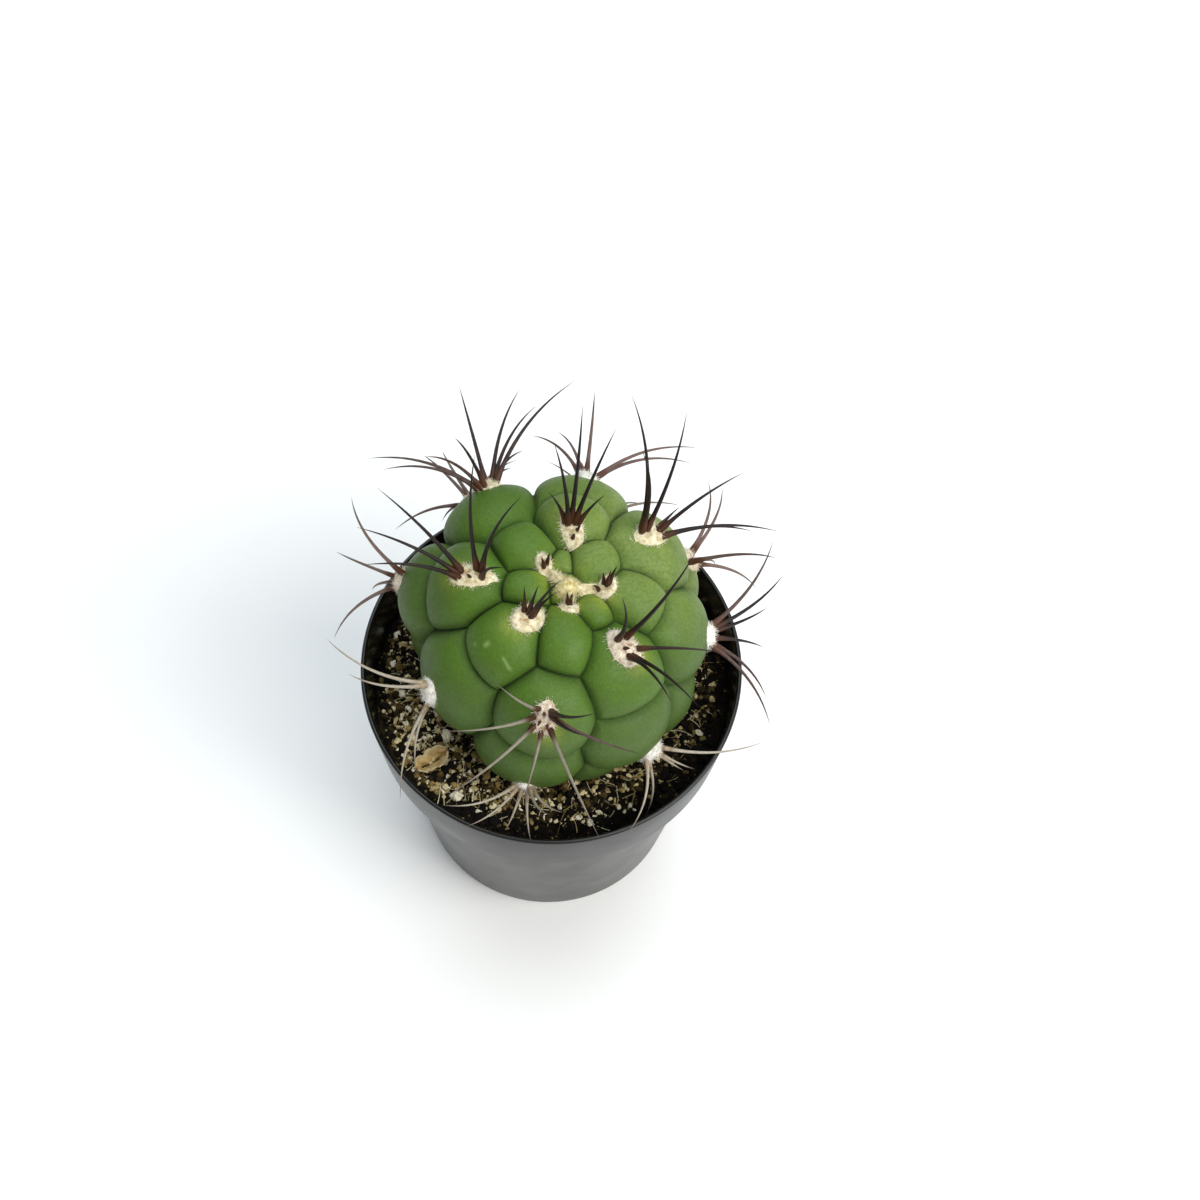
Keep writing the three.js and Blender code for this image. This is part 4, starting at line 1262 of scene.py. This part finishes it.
def add_areole(number, place, nudge, polar, pad, wool, age, spines):
    """Makes one areole's two pieces: its spines, and the wool that they stand in."""
    areole = Areole(place, nudge, polar)
    roots = spine_roots(areole, pad, spines)
    paths = [spine_path(areole, root, *spine[:3]) for root, spine in zip(roots, spines)]
    count = len(paths) * SPINE_STEPS
    edges = [(first, first + 1) for first in range(count) if (first + 1) % SPINE_STEPS]
    draft = new_piece("spine_paths", np.concatenate(paths), [], edges=edges)
    along = np.linspace(0, 1, SPINE_STEPS)
    ages = np.array([spine[3] if len(spine) > 3 else age for spine in spines])
    lengths = np.array([spine[2] for spine in spines])
    from_foot = np.outer(lengths + ROOT_SINK, along)
    store(draft, "thick", spine_radii(lengths, ages, along, from_foot) * MM)
    store(draft, "along", np.tile(along, len(spines)))
    store(draft, "from_foot", from_foot)
    store(draft, "age", np.repeat(ages, SPINE_STEPS))
    made = round_spines.make(f"spines_{number:02d}", draft)
    bpy.data.objects.remove(draft)
    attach(made, "root")
    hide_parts(f"areole_{number:02d}")
    make_wool(pad_mesh("pad", areole, *pad[:3], shift=pad[3:]), f"wool_{number:02d}", wool, number)
    return areole


# Each areole's place in the spiral, its push and its angle as for the tubercles, its pad, wool and
# age, and its spines. A pad is half its length, half its width, its height, and how far its middle
# lies up and aside. Each spine is [bearing, lean, length], with its own age where it differs.
AREOLES = [
    (0, 7, 14.5, (2, 2.8, 1.3, 0, 0), cream, 0, [[125, 20, 4], [175, 30, 3]]),
    (1, 4, 15.5, (3.2, 2.3, 1.3, 0, 0), cream, 0, [[-45, 20, 5], [25, 30, 4]]),
    (2, -3, 22, (3.4, 2.6, 1.4, 0, 0), cream, 0,
     [[-40, 30, 4], [0, 18, 6], [15, 28, 7], [-110, 50, 3]]),
    (3, 1, 27, (4.8, 3.9, 1.6, -1.1, 0.5), cream, 0.05,
     [[-55, 30, 8], [-12, 24, 10], [32, 25, 17], [22, 42, 10]]),
    (4, -4, 28, (5, 3.2, 1.6, -0.2, 0.2), cream, 0.05,
     [[10, 30, 2.2], [-60, 30, 2], [157, 20, 27], [-159, 23, 34], [-120, 26, 30], [150, 47, 10],
      [-98, 46, 11]]),
    (5, 3, 43, (5.3, 4.2, 1.7, -0.6, -0.9), pink, 0.1,
     [[-90, 15, 4], [-6, 37, 23], [57, 32, 34], [145, 61, 22, 0.3], [-139, 43, 23], [-159, 46, 26]]),
    (6, -2, 43, (5.8, 3.4, 1.7, -1, 1.2), cream, 0.1,
     [[90, 15, 2.2], [-144, 31, 32], [-169, 46, 30], [165, 47, 28], [-49, 31, 34], [-20, 48, 27],
      [24, 57, 14]]),
    (7, -3, 48, (5.2, 4.2, 1.7, 0.2, -0.5), cream, 0.15,
     [[65, 42, 36], [36, 38, 26], [63, 19, 34], [171, 47, 9], [-167, 36, 27], [-140, 63, 32],
      [-145, 67, 26]]),
    (8, 0, 62, (5, 3.4, 1.7, -0.9, -0.8), pink, 0.8,
     [[-49, 61, 20], [-93, 64, 26], [-130, 68, 30], [-170, 72, 20], [145, 58, 31],
      [45, 41, 21, 0.15], [68, 31, 17, 0.1], [93, 63, 25, 0.45], [-20, 18, 2.8, 0.35],
      [-120, 25, 2.6, 0.35], [150, 28, 2.8, 0.35]]),
    (9, -8, 69, (4.8, 3.8, 1.7, 0.3, 1), cream, 0.3,
     [[-163, 32, 32], [-118, 45, 30], [-85, 59, 35], [-116, 57, 29], [27, 56, 23],
      [72, 64, 34, 0.4], [64, 70, 32, 0.4], [44, 67, 27, 0.4], [-124, 72, 18], [-131, 80, 12]]),
    (10, 6, 83, (4.8, 3.4, 2.1, 0, -1.4), white, 0.4,
     [[88, 58, 31], [107, 47, 28, 0.1], [127, 43, 20, 0.1], [175, 41, 18, 0.15], [-134, 60, 30],
      [-155, 58, 27]]),
    (11, -4, 86, (4.6, 3.4, 2, -0.3, 0.3), white, 0.95,
     [[-31, 48, 34], [-14, 41, 28], [135, 60, 28], [140, 70, 22]]),
    (12, 1, 67, (4.8, 3.4, 1.6, 0, -0.4), white, 0.5,
     [[175, 40, 32], [138, 69, 26], [150, 59, 22], [-116, 66, 34], [-123, 73, 34],
      [170, 78, 20]]),
    (13, 7, 100, (4.6, 3.4, 2.1, -1.2, -0.9), white, 0.95,
     [[90, 54, 29], [133, 44, 14], [142, 40, 11], [-149, 60, 20], [-95, 63, 22]]),
    (14, -2, 85, (4.6, 3.2, 1.6, 0, 0), pink, 0.6,
     [[-7, 60, 32], [-148, 49, 27], [164, 69, 32], [-170, 72, 18]]),
    (15, -4, 80, (4.6, 3.2, 1.6, 0, 0), pink, 0.55,
     [[124, 66, 33], [129, 60, 32], [-43, 56, 32], [-168, 68, 30], [172, 76, 18]]),
    (16, 4, 106, (3.7, 2.8, 1.6, -1.2, 0), white, 0.95,
     [[-62, 65, 23], [-54, 47, 19.5], [-25, 23, 13], [44, 25, 14.5], [28, 66, 17.5], [48, 70, 15.5]]),
    (17, 5, 82, (4.6, 3.2, 1.6, 0, 0), pink, 0.55,
     [[-171, 39, 35], [-158, 42, 34], [130, 70, 24], [165, 74, 18], [-110, 72, 22]]),
    (20, 0, 96, (4.6, 3.2, 1.6, 0, 0), pink, 0.7,
     [[100, 62, 22], [-100, 62, 22], [140, 52, 17], [-140, 52, 17], [180, 48, 15]]),
]
areoles = [add_areole(number + 1, *row) for number, row in enumerate(AREOLES)]

# ---------------------------------------------------------------------------------------------
# Crown wool. The felt of areoles that are still forming, packed in the dent at the growing point,
# with arms that reach along the creases to the three youngest areoles.
# ---------------------------------------------------------------------------------------------
CROWN_PLACE = (0, 16, 3.2)
CROWN_LENGTH = 2.8
CROWN_WIDTH = 3.5
CROWN_HEIGHT = 1.8
ARMS = 3
ARM_WIDTH = 1.7
ARM_HEIGHT = 1.1

gold = wool_finish("crown_wool_gold", pale="e2d69f", deep="ab9651", core="9a8745")
pale_gold = wool_finish("arm_wool", pale="ebe0b8", deep="baa772", core="9c8752")
crown = Areole(*CROWN_PLACE)


def crown_arm(areole):
    """A strip of wool that runs in the crease from the crown toward a young areole."""
    across = areole.base - crown.base
    along, aside = across @ crown.up, across @ crown.side
    return pad_mesh("arm", crown, math.hypot(along, aside) / 2, ARM_WIDTH, ARM_HEIGHT, dip=0,
                    turn=math.degrees(math.atan2(aside, along)), shift=(along / 2, aside / 2))


crown_pad = pad_mesh("pad", crown, CROWN_LENGTH, CROWN_WIDTH, CROWN_HEIGHT, dip=0)
crown_wool = make_wool(crown_pad, "wool_crown", gold, 40)
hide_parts("crown_wool")
arms = [crown_arm(areole) for areole in areoles[:ARMS]]
with bpy.context.temp_override(active_object=arms[0], selected_editable_objects=arms):
    bpy.ops.object.join()
make_wool(arms[0], "wool_crown_arms", pale_gold, 41)

# The stem's skin is fresher green at the crown and on the chin below each areole.
CROWN_GLOW = 0.6
CROWN_GLOW_SIZE = 9
CHIN_GLOW = 0.9
CHIN_GLOW_SIZE = 4.5
CHIN_BELOW = 0.8
skin_points = corners_of(stem)


def glow_round(place, strength, size):
    """How fresh each corner of the skin is for being near a place."""
    away = np.linalg.norm(skin_points - place, axis=1)
    return strength * np.exp(-(away / size) ** 2)


glow = glow_round(crown.base, CROWN_GLOW, CROWN_GLOW_SIZE)
for areole, row in zip(areoles, AREOLES):
    pad_length = row[3][0]
    chin = areole.base - CHIN_BELOW * pad_length * areole.up
    glow = np.maximum(glow, glow_round(chin, CHIN_GLOW, CHIN_GLOW_SIZE))
store(stem, "glow", glow)
